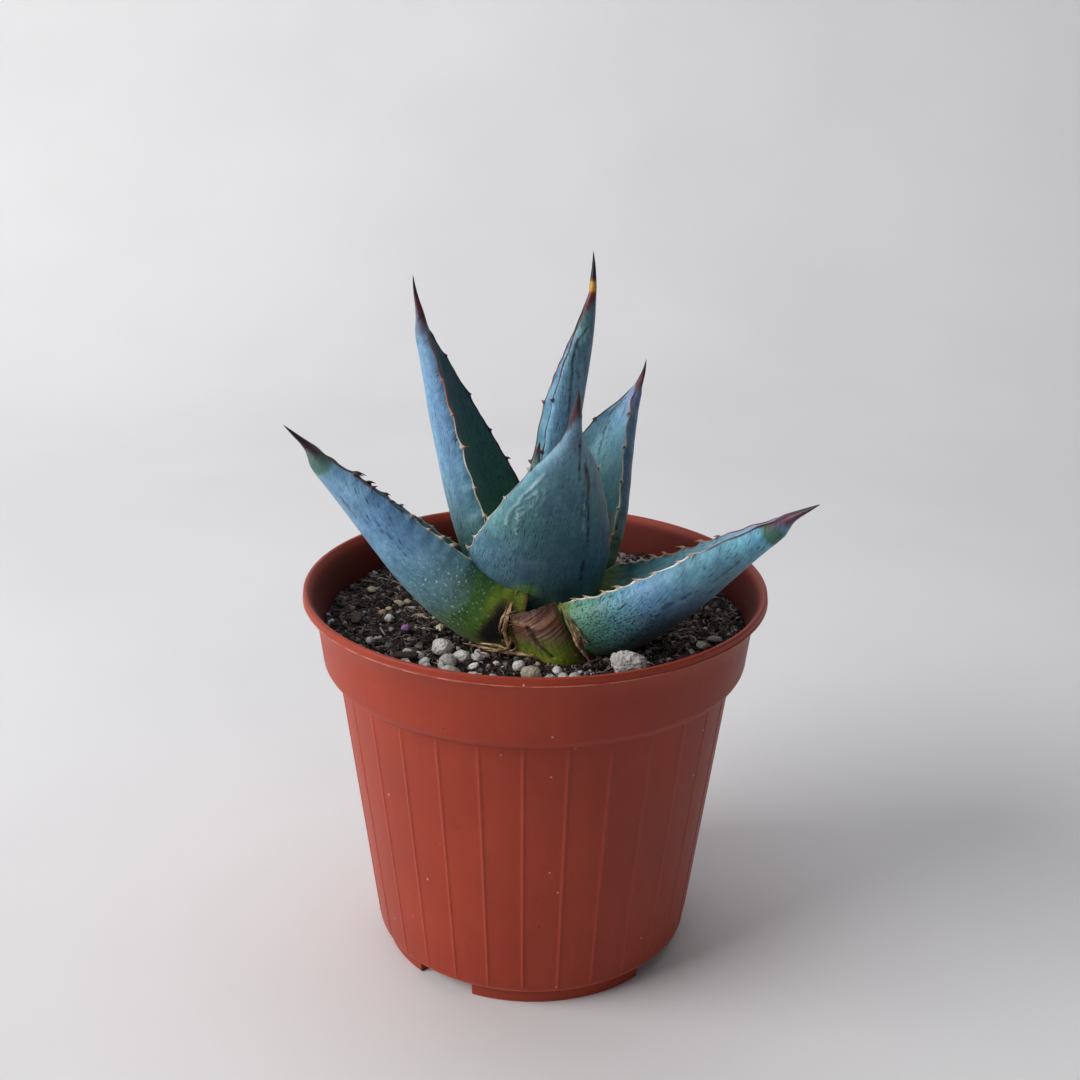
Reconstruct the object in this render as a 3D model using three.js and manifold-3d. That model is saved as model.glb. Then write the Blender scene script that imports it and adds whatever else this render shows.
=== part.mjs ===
// Potted agave: a young blue-leaved agave with six standing leaves in a moulded nursery pot.
// Millimetres, +Z up. The feet of the pot stand on z = 0 and the front of the plant faces -Y.
import * as THREE from 'three';
import { mergeVertices } from 'three/addons/utils/BufferGeometryUtils.js';
import Module from 'manifold-3d';

const wasm = await Module();
wasm.setup();

// Pot
const POT_HEIGHT = 88.8;
const LIP_RADIUS = 52.5;
const LIP_HEIGHT = 1.9;
const LIP_THICKNESS = 1.1;
const LIP_ROUNDING = 0.45;
const FLARE_WIDTH = 1.2;
const FLARE_HEIGHT = 6;
const COLLAR_HEIGHT = 18.8;
const COLLAR_TOP_RADIUS = 50.2;
const COLLAR_BOTTOM_RADIUS = 48.4;
const COLLAR_ROUNDING = 3;
const BODY_TOP_RADIUS = 45.2;
const BODY_BOTTOM_RADIUS = 37.1;
const POT_WALL = 1.3;
const FLOOR_THICKNESS = 1.6;
const POT_SIDES = 96;

// Feet and drainage
const FOOT_HEIGHT = 4;
const FOOT_RADIUS = 35.4;
const FOOT_WALL = 2.4;
const FOOT_COUNT = 4;
const FOOT_GAP_ANGLE = 24;
const FIRST_GAP_ANGLE = -34;
const DRAIN_RADIUS = 3.2;
const DRAIN_CIRCLE_RADIUS = 25;

// Moulded ribs on the body
const RIB_COUNT = 30;
const FIRST_RIB_ANGLE = -2.6;
const RIB_WIDTH = 0.5;
const RIB_HEIGHT = 0.35;
const RIB_CLEARANCE = 0.8;

// Soil
const SOIL_BELOW_RIM = 9.8;
const SOIL_BUMP = 0.9;
const SOIL_SIDES = 48;
const SOIL_RINGS = 8;

// Gap left between touching pieces
const GAP = 0.4;

// Stem and roots, measured from the soil level
const STEM_RADIUS = 6;
const STEM_TOP = 8;
const STEM_DEPTH = 16;
const STEM_X = 1.5;
const STEM_Y = -2.5;
const ROOT_COUNT = 6;
const ROOT_TURN = 47;
const ROOT_RADIUS = 1.1;
const ROOT_REACH = 22;
const ROOT_DEPTH = 38;

// Leaves
const TOOTH_HEIGHT = 1.2;
const TOOTH_EVERY = 3;
const LEAF_RINGS = 28;
const LEAF_AROUND = 16;
const CUT_LEAF_RINGS = 8;
const CUT_LEAF_AROUND = 12;
const SPINE_SHARE = 0.1;
const TIP_THINNING = 0.72;
const INNER_BULGE = 0.1;

// Each leaf: where it leaves the stem (z from the soil level), compass direction, length to
// the point of the spine, rise above level at base, middle and tip, sideways sweep, roll,
// flat width at the base and at its widest, channel half angle, and thickness at the base.
const LEAVES = {
  leaf_tall: {
    start: [4.3, 0.5, 8], azimuth: 0, length: 77, rise: [99, 65, 90], sweep: -3, roll: [13, -3],
    width: [15, 20.5], widestAt: 0.54, curl: [56, 70], thickness: 4.6, spineWidth: 1.3,
    color: 0x5f8f9e,
  },
  leaf_front: {
    start: [-0.5, -5.2, 2.2], azimuth: -73, length: 66, rise: [68, 57, 72], sweep: 3, roll: [-10, 20],
    width: [21, 34], widestAt: 0.27, curl: [40, 22], thickness: 7, spineWidth: 2.2,
    color: 0x5c8d94,
  },
  leaf_back_left: {
    start: [-4, 3.6, 7.5], azimuth: 149, length: 74, rise: [55, 78, 70], sweep: 10, roll: [-2, 17],
    width: [17, 25], widestAt: 0.24, curl: [69, 30], thickness: 8.4, spineWidth: 1.5,
    color: 0x5b8f9a,
  },
  leaf_back_right: {
    start: [7, 3.3, 6.6], azimuth: 59, length: 57.5, rise: [55, 72, 38], sweep: -10, roll: [10, -21],
    width: [16.5, 22.5], widestAt: 0.4, curl: [46, 50], thickness: 7.2, spineWidth: 1.3,
    color: 0x6a9aa0,
  },
  leaf_left: {
    start: [-5, -7, 5.6], azimuth: 186, length: 66, rise: [18, 71, 34], sweep: -1, roll: [10, 15],
    width: [23, 22.5], widestAt: 0.32, curl: [90, 35], thickness: 11, spineWidth: 1.3,
    color: 0x5b8ba6,
  },
  leaf_right: {
    start: [9, -7.5, 5], azimuth: -33, length: 66, rise: [9, 65, 24], sweep: 6, roll: [6, -4],
    width: [17.5, 26.5], widestAt: 0.15, curl: [73, 38], thickness: 11, spineWidth: 1.5,
    color: 0x628f93,
  },
};

// The base of an old leaf that was cut away: a short sheath that stands against the front
const CUT_LEAF = {
  start: [3.6, -17, -1], azimuth: -88, length: 62, rise: [94, 102, 106], sweep: 0, roll: [0, 0],
  width: [18, 10.5], widestAt: 0.22, curl: [34, 34], thickness: 4.2, spineWidth: 2, cutAt: 0.22,
};

// Dry papery remains of older leaves round the foot of the plant
const SCALES = {
  dried_scale_left: {
    start: [-3.6, -22, 0.4], azimuth: -92, length: 13.5, rise: [95, 100, 102], sweep: 0, roll: [6, 6],
    width: [4.5, 3.5], widestAt: 0.6, curl: [24, 20], thickness: 1, spineWidth: 2, cutAt: 0.9,
  },
  dried_scale_right: {
    start: [12.2, -25, 0.8], azimuth: 165, length: 14, rise: [62, 68, 72], sweep: 0, roll: [88, 88],
    width: [1.8, 4.2], widestAt: 0.85, curl: [20, 24], thickness: 1, spineWidth: 2.5, cutAt: 0.9,
  },
  dried_scale_front: {
    start: [6, -24.4, 0.7], azimuth: 174, length: 22, rise: [5, 1, -3], sweep: -6, roll: [0, 0],
    width: [2.5, 4.2], widestAt: 0.6, curl: [20, 18], thickness: 1, spineWidth: 2, cutAt: 0.9,
  },
};

// Central bud: the rolled young leaf, from the top of the stem
const BUD_X = -1;
const BUD_Y = 2;
const BUD_RADIUS = 3.6;
const BUD_BASE = 6;
const BUD_LENGTH = 36;
const BUD_LEAN = 3;

// Top dressing: two stones that stand out, then smaller grains spread round the soil
const STONES = {
  pumice_stone: { x: 20, y: -31, size: [4.4, 3, 2.7], turn: 12, color: 0xd9d5cd },
  pumice_lump: { x: -20, y: -22, size: [2.4, 1.9, 1.9], turn: 40, color: 0xe4e0d8 },
  violet_granule: { x: -29, y: -9, size: [1.3, 1, 0.9], turn: 70, color: 0xb883c4 },
};
const GRIT_COUNT = 18;
const GRIT_RING = [33, 45];
const BARK_COUNT = 5;
const BARK_RING = [34, 42];

// Colours
const POT_COLOR = 0xa8432f;
const SOIL_COLOR = 0x3b332f;
const STEM_COLOR = 0xc9bd8c;
const BUD_COLOR = 0x7fa7a4;
const DRY_COLOR = 0x8a6a4b;
const CUT_COLOR = 0x7a7a35;
const BARK_COLOR = 0x5a4030;
const GRIT_COLORS = [0xc9c4ba, 0xa9a49c, 0xd8d2c4, 0x8d857b];

const rad = THREE.MathUtils.degToRad;
const soilLevel = POT_HEIGHT - SOIL_BELOW_RIM;
const collarBottom = POT_HEIGHT - COLLAR_HEIGHT;
const floorTop = FOOT_HEIGHT + FLOOR_THICKNESS;

function toSolid(geometry) {
  const bare = geometry.clone();
  bare.deleteAttribute('normal');
  bare.deleteAttribute('uv');
  const merged = mergeVertices(bare, 1e-4);
  return new wasm.Manifold(new wasm.Mesh({
    numProp: 3,
    vertProperties: new Float32Array(merged.attributes.position.array),
    triVerts: new Uint32Array(merged.index.array),
  }));
}

function toGeometry(solid) {
  const mesh = solid.getMesh();
  const geometry = new THREE.BufferGeometry();
  geometry.setAttribute('position', new THREE.BufferAttribute(mesh.vertProperties, 3));
  geometry.setIndex(new THREE.BufferAttribute(mesh.triVerts, 1));
  geometry.computeVertexNormals();
  return geometry;
}

// A cut can leave slivers beside the piece itself: the piece is the largest of them.
function largestPiece(solid) {
  const pieces = solid.decompose();
  pieces.sort((a, b) => b.volume() - a.volume());
  return pieces[0];
}

function material(color, roughness) {
  return new THREE.MeshStandardMaterial({ color, roughness, metalness: 0 });
}

function mesh(name, geometry, color, roughness) {
  const result = new THREE.Mesh(geometry, material(color, roughness));
  result.name = name;
  return result;
}

// A profile of [radius, z] points turned about the Z axis.
function turned(profile, sides, startAngle = 0) {
  const points = profile.map(([r, z]) => new THREE.Vector2(r, z));
  const geometry = new THREE.LatheGeometry(points, sides, startAngle);
  geometry.rotateX(Math.PI / 2);
  return geometry;
}

// Radius of the outer face of the tapered body at a height.
function bodyRadius(z) {
  const share = (z - FOOT_HEIGHT) / (collarBottom - FOOT_HEIGHT);
  return THREE.MathUtils.lerp(BODY_BOTTOM_RADIUS, BODY_TOP_RADIUS, share);
}

// Radius of the inner face of the pot, which the soil fills.
function innerRadius(z) {
  if (z <= collarBottom) {
    return bodyRadius(z) - POT_WALL;
  }
  const shoulder = collarBottom + COLLAR_ROUNDING;
  if (z < shoulder) {
    const share = (z - collarBottom) / COLLAR_ROUNDING;
    return THREE.MathUtils.lerp(bodyRadius(collarBottom), COLLAR_BOTTOM_RADIUS, share) - POT_WALL;
  }
  const share = (z - shoulder) / (POT_HEIGHT - shoulder);
  return THREE.MathUtils.lerp(COLLAR_BOTTOM_RADIUS, COLLAR_TOP_RADIUS, share) - POT_WALL;
}

// How far the wall flares out under the lip, at a height.
function lipFlare(z) {
  const share = 1 - (POT_HEIGHT - LIP_HEIGHT - z) / FLARE_HEIGHT;
  return FLARE_WIDTH * THREE.MathUtils.clamp(share, 0, 1) ** 2;
}

function potGeometry() {
  const lipBottom = POT_HEIGHT - LIP_HEIGHT;
  const shoulder = collarBottom + COLLAR_ROUNDING;
  const underside = [[BODY_TOP_RADIUS, collarBottom]];
  const undersideWidth = COLLAR_BOTTOM_RADIUS - BODY_TOP_RADIUS;
  for (const angle of [30, 60, 90]) {
    underside.push([
      BODY_TOP_RADIUS + undersideWidth * Math.sin(rad(angle)),
      shoulder - COLLAR_ROUNDING * Math.cos(rad(angle)),
    ]);
  }
  const flareOutside = [];
  const flareInside = [];
  for (const share of [0, 0.4, 0.7, 1]) {
    const z = lipBottom - FLARE_HEIGHT * (1 - share);
    flareInside.unshift([innerRadius(z) + lipFlare(z), z]);
    flareOutside.push([innerRadius(z) + lipFlare(z) + POT_WALL, z]);
  }
  const profile = [
    [0, FOOT_HEIGHT],
    [FOOT_RADIUS - FOOT_WALL, FOOT_HEIGHT],
    [FOOT_RADIUS - FOOT_WALL, 0],
    [FOOT_RADIUS, 0],
    [FOOT_RADIUS, FOOT_HEIGHT],
    [BODY_BOTTOM_RADIUS, FOOT_HEIGHT],
    ...underside,
    ...flareOutside,
    [LIP_RADIUS - LIP_ROUNDING, lipBottom],
    [LIP_RADIUS, lipBottom + LIP_ROUNDING],
    [LIP_RADIUS, POT_HEIGHT - LIP_ROUNDING],
    [LIP_RADIUS - LIP_ROUNDING, POT_HEIGHT],
    [LIP_RADIUS - LIP_THICKNESS, POT_HEIGHT],
    ...flareInside,
    [innerRadius(shoulder), shoulder],
    [innerRadius(collarBottom), collarBottom],
    [innerRadius(floorTop), floorTop],
    [0, floorTop],
  ];
  const facetOffset = Math.PI / POT_SIDES;
  let solid = toSolid(turned(profile, POT_SIDES, facetOffset));

  for (let i = 0; i < FOOT_COUNT; i++) {
    const angle = rad(FIRST_GAP_ANGLE + i * 360 / FOOT_COUNT);
    const gapWidth = 2 * FOOT_RADIUS * Math.sin(rad(FOOT_GAP_ANGLE / 2));
    const notch = new THREE.BoxGeometry(2 * FOOT_WALL + FOOT_RADIUS / 4, gapWidth, 2 * FOOT_HEIGHT);
    notch.translate(FOOT_RADIUS, 0, 0);
    notch.rotateZ(angle - Math.PI / 2);
    solid = solid.subtract(toSolid(notch));
    const drain = new THREE.CylinderGeometry(DRAIN_RADIUS, DRAIN_RADIUS, 4 * FLOOR_THICKNESS, 24);
    drain.rotateX(Math.PI / 2);
    drain.translate(DRAIN_CIRCLE_RADIUS, 0, (FOOT_HEIGHT + floorTop) / 2);
    drain.rotateZ(angle - Math.PI / 2);
    solid = solid.subtract(toSolid(drain));
  }

  const ribBottom = FOOT_HEIGHT + RIB_CLEARANCE;
  const ribTop = collarBottom - RIB_CLEARANCE;
  const slope = Math.atan2(bodyRadius(ribTop) - bodyRadius(ribBottom), ribTop - ribBottom);
  const facetDepth = Math.cos(Math.PI / POT_SIDES);
  for (let i = 0; i < RIB_COUNT; i++) {
    const rib = new THREE.BoxGeometry(2 * RIB_HEIGHT, RIB_WIDTH, (ribTop - ribBottom) / Math.cos(slope));
    rib.rotateY(slope);
    rib.translate(bodyRadius((ribTop + ribBottom) / 2) * facetDepth, 0, (ribTop + ribBottom) / 2);
    rib.rotateZ(i * 2 * Math.PI / RIB_COUNT + rad(FIRST_RIB_ANGLE) - Math.PI / 2);
    solid = solid.add(toSolid(rib));
  }
  return toGeometry(solid);
}

// Height of the soil surface above the soil level: low mounds and hollows.
function soilBump(x, y) {
  const broad = Math.sin(x / 9 + 1.3) * Math.cos(y / 11 - 0.4);
  const fine = Math.sin(x / 3.1 + y / 4.3) * Math.sin(y / 3.7 - x / 5.9);
  return SOIL_BUMP * (0.65 * broad + 0.35 * fine);
}

function soilSolid() {
  const bottom = floorTop + GAP;
  const shoulder = collarBottom + COLLAR_ROUNDING;
  const profile = [
    [0, bottom],
    [innerRadius(bottom) - GAP, bottom],
    [innerRadius(collarBottom) - GAP, collarBottom],
    [innerRadius(shoulder) - GAP, shoulder],
  ];
  const edge = innerRadius(soilLevel) - GAP;
  for (let i = 0; i <= SOIL_RINGS; i++) {
    profile.push([edge * (1 - i / SOIL_RINGS), soilLevel]);
  }
  const geometry = turned(profile, SOIL_SIDES);
  const position = geometry.attributes.position;
  for (let i = 0; i < position.count; i++) {
    if (position.getZ(i) > soilLevel - 1e-3) {
      position.setZ(i, soilLevel + soilBump(position.getX(i), position.getY(i)));
    }
  }
  return toSolid(geometry);
}

// Blade width from base to where the spine starts.
function bladeWidth(leaf, t) {
  const [base, widest] = leaf.width;
  if (t < leaf.widestAt) {
    return THREE.MathUtils.lerp(base, widest, Math.sin(t / leaf.widestAt * Math.PI / 2));
  }
  const share = (t - leaf.widestAt) / (1 - leaf.widestAt);
  return THREE.MathUtils.lerp(widest, leaf.spineWidth, share ** 1.6);
}

// Points and directions along the middle of the inner face, from the base to the spine's point.
function leafPath(leaf, steps) {
  const [rise0, rise1, rise2] = leaf.rise;
  const path = [];
  const point = new THREE.Vector3(...leaf.start);
  let previous = null;
  for (let i = 0; i <= steps; i++) {
    const t = i / steps;
    const rise = rad(rise0 * (1 - t) ** 2 + 2 * rise1 * t * (1 - t) + rise2 * t ** 2);
    const azimuth = rad(leaf.azimuth + leaf.sweep * t);
    const along = new THREE.Vector3(
      Math.cos(rise) * Math.cos(azimuth),
      Math.cos(rise) * Math.sin(azimuth),
      Math.sin(rise),
    );
    if (previous) {
      const middle = previous.along.clone().add(along).multiplyScalar(0.5);
      point.addScaledVector(middle, leaf.length / steps);
    }
    previous = { point: point.clone(), along };
    const across = new THREE.Vector3(-Math.sin(azimuth), Math.cos(azimuth), 0);
    const inward = along.clone().cross(across);
    const roll = rad(THREE.MathUtils.lerp(leaf.roll[0], leaf.roll[1], t / (1 - SPINE_SHARE)));
    path.push({
      point: previous.point,
      along,
      across: across.clone().multiplyScalar(Math.cos(roll)).addScaledVector(inward, Math.sin(roll)),
      inward: inward.clone().multiplyScalar(Math.cos(roll)).addScaledVector(across, -Math.sin(roll)),
    });
  }
  return path;
}

// One point of the channelled section: a bent half-ellipse, with the inner face on the arc.
function sectionPoint(leaf, frame, t, turn, toothed, grow) {
  const curl = rad(THREE.MathUtils.lerp(leaf.curl[0], leaf.curl[1], t));
  const halfWidth = bladeWidth(leaf, t) / 2;
  const bend = halfWidth / curl;
  const side = Math.cos(turn);
  const height = Math.sin(turn);
  const onEdge = Math.abs(side) > 0.999;
  const tooth = toothed && onEdge ? TOOTH_HEIGHT * Math.sqrt(halfWidth / (leaf.width[1] / 2)) : 0;
  const reach = (halfWidth + grow + tooth) * side / bend;
  const thickness = leaf.thickness * (1 - TIP_THINNING * t);
  const swell = height > 0 ? INNER_BULGE * thickness : -thickness;
  const lift = swell * Math.abs(height) + grow * THREE.MathUtils.clamp(4 * height, -1, 1);
  const radius = bend - lift;
  return frame.point.clone()
    .addScaledVector(frame.across, radius * Math.sin(reach))
    .addScaledVector(frame.inward, bend - radius * Math.cos(reach));
}

// A closed leaf on the grid of a sphere: one pole inside the base, the other at the point.
function leafGeometry(leaf, grow = 0) {
  const rings = leaf.cutAt ? CUT_LEAF_RINGS : LEAF_RINGS;
  const around = leaf.cutAt ? CUT_LEAF_AROUND : LEAF_AROUND;
  const geometry = new THREE.SphereGeometry(1, around, rings);
  const position = geometry.attributes.position;
  const pathSteps = 200;
  const path = leafPath(leaf, pathSteps);
  const lastBladeRing = leaf.cutAt ? rings - 1 : rings - 2;
  const bladeEnd = leaf.cutAt ?? 1;
  for (let ring = 0; ring <= rings; ring++) {
    const t = bladeEnd * THREE.MathUtils.clamp((ring - 1) / (lastBladeRing - 1), 0, 1);
    const frame = path[Math.round(t * (1 - SPINE_SHARE) * pathSteps)];
    const toothed = !leaf.cutAt && ring % TOOTH_EVERY === 0 && t > 0.12 && t < 0.9;
    for (let i = 0; i <= around; i++) {
      const turn = -2 * Math.PI * (i % around) / around;
      let point = sectionPoint(leaf, frame, t, turn, toothed, grow);
      if (ring === 0) {
        point = frame.point.clone().addScaledVector(frame.along, -grow);
      } else if (ring === 1) {
        point.addScaledVector(frame.along, -grow);
      } else if (ring === rings && leaf.cutAt) {
        point = frame.point.clone().addScaledVector(frame.along, grow);
      } else if (ring === rings) {
        const tip = path[pathSteps];
        point = tip.point.clone().addScaledVector(tip.along, grow);
      }
      position.setXYZ(ring * (around + 1) + i, point.x, point.y, point.z);
    }
  }
  return geometry;
}

// Stem and the thick roots that spread from its foot, measured from the soil level.
function stemSolid(grow = 0) {
  const radius = STEM_RADIUS + grow;
  const top = STEM_TOP + grow;
  const foot = -STEM_DEPTH - grow;
  const profile = [
    [0, foot],
    [radius * 0.55, foot],
    [radius * 0.9, foot + STEM_DEPTH * 0.4],
    [radius, 0],
    [radius * 0.92, top * 0.6],
    [radius * 0.6, top * 0.92],
    [0, top],
  ];
  const stem = turned(profile, 18);
  stem.translate(STEM_X, STEM_Y, 0);
  let solid = toSolid(stem);
  const sides = 6;
  const rootRadius = ROOT_RADIUS + grow / Math.cos(Math.PI / sides);
  const section = new THREE.Shape();
  section.absarc(0, 0, rootRadius, 0, 2 * Math.PI);
  for (let i = 0; i < ROOT_COUNT; i++) {
    const angle = rad(ROOT_TURN) + i * 2 * Math.PI / ROOT_COUNT;
    const fall = ROOT_DEPTH * (0.8 + 0.2 * Math.cos(2.3 * i));
    const route = new THREE.CatmullRomCurve3([0, 0.35, 0.7, 1].map((t) => new THREE.Vector3(
      STEM_X + ROOT_REACH * Math.sin(t * Math.PI / 2) * Math.cos(angle + 0.5 * t),
      STEM_Y + ROOT_REACH * Math.sin(t * Math.PI / 2) * Math.sin(angle + 0.5 * t),
      -STEM_DEPTH * 0.7 - (fall + (t === 1 ? grow : 0)) * t * t,
    )));
    const root = new THREE.ExtrudeGeometry(section, {
      steps: 8, curveSegments: sides, bevelEnabled: false, extrudePath: route,
    });
    solid = solid.add(toSolid(root));
  }
  return solid;
}

function budGeometry(grow = 0) {
  const rings = 10;
  const profile = [[0, -grow]];
  for (let i = 0; i < rings; i++) {
    const t = i / rings;
    profile.push([(BUD_RADIUS + grow) * Math.cos(t * Math.PI / 2) ** 0.8, (BUD_LENGTH + grow) * t - grow]);
  }
  profile.push([0, BUD_LENGTH + grow]);
  const geometry = turned(profile, 14);
  const position = geometry.attributes.position;
  for (let i = 0; i < position.count; i++) {
    const lean = BUD_LEAN * (position.getZ(i) / BUD_LENGTH) ** 2;
    position.setX(i, position.getX(i) + lean);
  }
  geometry.translate(BUD_X, BUD_Y, BUD_BASE);
  return geometry;
}

// A repeatable stream of numbers from 0 to 1.
function numberStream(seed) {
  let state = seed;
  return () => {
    state = (state * 1664525 + 1013904223) % 4294967296;
    return state / 4294967296;
  };
}

// An angular grain: an icosahedron pulled in and out by a smooth wave.
function grainGeometry([a, b, c], seed, detail) {
  const geometry = new THREE.IcosahedronGeometry(1, detail);
  const position = geometry.attributes.position;
  const point = new THREE.Vector3();
  for (let i = 0; i < position.count; i++) {
    point.fromBufferAttribute(position, i);
    const wave = Math.sin(3.1 * point.x + seed)
      + Math.sin(3.7 * point.y + 2 * seed)
      + Math.sin(2.9 * point.z - seed);
    point.multiplyScalar(1 + 0.06 * wave);
    position.setXYZ(i, point.x * a, point.y * b, point.z * c);
  }
  return geometry;
}

// A grain lying on the soil, clear of the highest soil under it.
function grain(name, { x, y, size, turn, color, seed, detail }) {
  const geometry = grainGeometry(size, seed, detail);
  geometry.rotateZ(rad(turn));
  geometry.computeBoundingBox();
  const reach = Math.max(size[0], size[1]);
  let ground = -Infinity;
  for (let dx = -1; dx <= 1; dx += 0.5) {
    for (let dy = -1; dy <= 1; dy += 0.5) {
      ground = Math.max(ground, soilBump(x + dx * reach, y + dy * reach));
    }
  }
  const result = mesh(name, geometry, color, 0.95);
  result.position.set(x, y, soilLevel + ground + GAP - geometry.boundingBox.min.z);
  return result;
}

// Grains spread round a ring of soil, each where it clears the ones already there.
const lying = [];

function layDown(group, name, description) {
  lying.push({ x: description.x, y: description.y, reach: Math.max(...description.size) });
  group.add(grain(name, description));
}

function isClear(x, y, reach) {
  return lying.every((other) => Math.hypot(x - other.x, y - other.y) > 1.3 * (reach + other.reach));
}

function scatter(group, prefix, count, [inner, outer], seed, describe) {
  const next = numberStream(seed);
  let made = 0;
  while (made < count) {
    const angle = (made + next()) * 2 * Math.PI / count;
    const radius = THREE.MathUtils.lerp(inner, outer, next());
    const description = describe(next);
    const x = radius * Math.cos(angle);
    const y = radius * Math.sin(angle);
    if (isClear(x, y, Math.max(...description.size))) {
      made += 1;
      const name = `${prefix}_${String(made).padStart(2, '0')}`;
      layDown(group, name, { ...description, x, y, seed: made + seed });
    }
  }
}

const group = new THREE.Group();
group.add(mesh('pot', potGeometry(), POT_COLOR, 0.55));

// The plant stands in its own frame, whose floor is the soil level. Each piece is cut clear
// of the pieces nearer to the heart of the plant, which are listed before it.
const plant = new THREE.Group();
plant.position.z = soilLevel;
group.add(plant);
const clearances = [];

function addToPlant(name, solid, grown, color, roughness) {
  let cut = solid;
  for (const clearance of clearances) {
    cut = cut.subtract(clearance);
  }
  plant.add(mesh(name, toGeometry(largestPiece(cut)), color, roughness));
  clearances.push(grown);
}

addToPlant('stem_with_roots', stemSolid(), stemSolid(GAP), STEM_COLOR, 0.8);
addToPlant('central_bud', toSolid(budGeometry()), toSolid(budGeometry(GAP)), BUD_COLOR, 0.5);
for (const [name, leaf] of Object.entries(LEAVES)) {
  addToPlant(name, toSolid(leafGeometry(leaf)), toSolid(leafGeometry(leaf, GAP)), leaf.color, 0.5);
}
addToPlant(
  'cut_leaf_base', toSolid(leafGeometry(CUT_LEAF)), toSolid(leafGeometry(CUT_LEAF, GAP)), CUT_COLOR, 0.8,
);
for (const [name, scale] of Object.entries(SCALES)) {
  addToPlant(name, toSolid(leafGeometry(scale)), toSolid(leafGeometry(scale, GAP)), DRY_COLOR, 0.9);
}

// The soil lies round every part of the plant that is below its surface.
let soil = soilSolid();
for (const clearance of clearances) {
  soil = soil.subtract(clearance.translate([0, 0, soilLevel]));
}
group.add(mesh('soil', toGeometry(largestPiece(soil)), SOIL_COLOR, 1));

Object.entries(STONES).forEach(([name, stone], i) => {
  layDown(group, name, { ...stone, seed: i + 3, detail: 1 });
});
scatter(group, 'grit', GRIT_COUNT, GRIT_RING, 11, (next) => ({
  size: [0.9 + 0.9 * next(), 0.8 + 0.7 * next(), 0.7 + 0.5 * next()],
  turn: 180 * next(),
  color: GRIT_COLORS[Math.floor(4 * next())],
  detail: 0,
}));
scatter(group, 'bark_chip', BARK_COUNT, BARK_RING, 29, (next) => ({
  size: [2.2 + 1.4 * next(), 1 + 0.5 * next(), 0.6],
  turn: 180 * next(),
  color: BARK_COLOR,
  detail: 0,
}));

// The origin is under the middle of the whole object.
const box = new THREE.Box3().setFromObject(group);
const center = box.getCenter(new THREE.Vector3());
for (const child of group.children) {
  child.position.x -= center.x;
  child.position.y -= center.y;
}

export default group;
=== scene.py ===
import math
import bmesh
import bpy
import numpy as np
from mathutils import Matrix, Vector
from mathutils.bvhtree import BVHTree


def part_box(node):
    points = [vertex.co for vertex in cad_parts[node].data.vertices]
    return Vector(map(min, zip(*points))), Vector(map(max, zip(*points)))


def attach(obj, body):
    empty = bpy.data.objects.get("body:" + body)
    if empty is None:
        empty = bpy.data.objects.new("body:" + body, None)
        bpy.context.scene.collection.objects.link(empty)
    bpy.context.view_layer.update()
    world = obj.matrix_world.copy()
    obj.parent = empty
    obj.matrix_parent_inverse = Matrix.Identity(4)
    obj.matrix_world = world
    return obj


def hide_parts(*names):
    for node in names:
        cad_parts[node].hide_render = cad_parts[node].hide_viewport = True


# Potted agave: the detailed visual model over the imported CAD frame.
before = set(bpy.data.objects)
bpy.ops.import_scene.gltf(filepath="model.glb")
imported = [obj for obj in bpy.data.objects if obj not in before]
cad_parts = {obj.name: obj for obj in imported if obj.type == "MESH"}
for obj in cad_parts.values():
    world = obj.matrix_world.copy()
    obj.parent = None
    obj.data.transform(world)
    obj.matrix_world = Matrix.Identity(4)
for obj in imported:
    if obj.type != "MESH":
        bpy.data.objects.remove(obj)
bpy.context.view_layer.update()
MM = 0.001

# ---------------------------------------------------------------- sizes, in millimetres
pot_low, pot_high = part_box("pot")
AXIS = np.array([(pot_low.x + pot_high.x) / 2, (pot_low.y + pot_high.y) / 2, 0.0]) / MM
POT_TOP = pot_high.z / MM
SOIL_LEVEL = POT_TOP - 9.8
COLLAR_BOTTOM = POT_TOP - 18.8
LIP_R, LIP_H, LIP_T = 52.5, 1.9, 1.1
COLLAR_TOP_R, COLLAR_LOW_R, COLLAR_ROUND = 50.2, 48.4, 3.0
BODY_TOP_R, BODY_LOW_R, WALL = 45.2, 37.1, 1.3
FOOT_H, FOOT_R, FOOT_W, FLOOR_T = 4.0, 35.4, 2.4, 1.6
# Four gaps in the foot ring, with a drain hole above each: first middle and half width, in degrees
FIRST_GAP, FOOT_GAP = -124, 12.0
HOLE_CIRCLE, HOLE_R, HOLE_WAIST = 25, 3.5, 3.2
# FIRST_RIB is in degrees from the front
RIBS, RIB_H, RIB_W, FIRST_RIB = 30, 0.2, 0.36, -2.6
FLARE_W, FLARE_H = 1.2, 6.0
SOIL_R = 48.0
# Where a leaf's terminal spine starts, how much it thins towards the tip, and how far its inner face bulges
SPINE_START, TIP_THINNING, INNER_BULGE = 0.9, 0.72, 0.1
# Radius of a marginal tooth at its root
TOOTH_BASE = 0.45


# ---------------------------------------------------------------- small numeric tools
def lerp(a, b, t):
    return a + (b - a) * t


def smooth(a, b, x):
    x = np.clip((x - a) / (b - a), 0, 1)
    return x * x * (3 - 2 * x)


def fade_out(a, b, x):
    return 1 - smooth(a, b, x)


def unit(v):
    return v / np.maximum(np.linalg.norm(v, axis=-1, keepdims=True), 1e-9)


def rgb(r, g, b):
    """A colour given as 0-255 screen values, as linear light."""
    c = np.array([r, g, b], float) / 255
    return np.where(c <= 0.04045, c / 12.92, ((c + 0.055) / 1.055) ** 2.4)


TABLE = np.random.RandomState(7).rand(97, 89)


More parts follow.
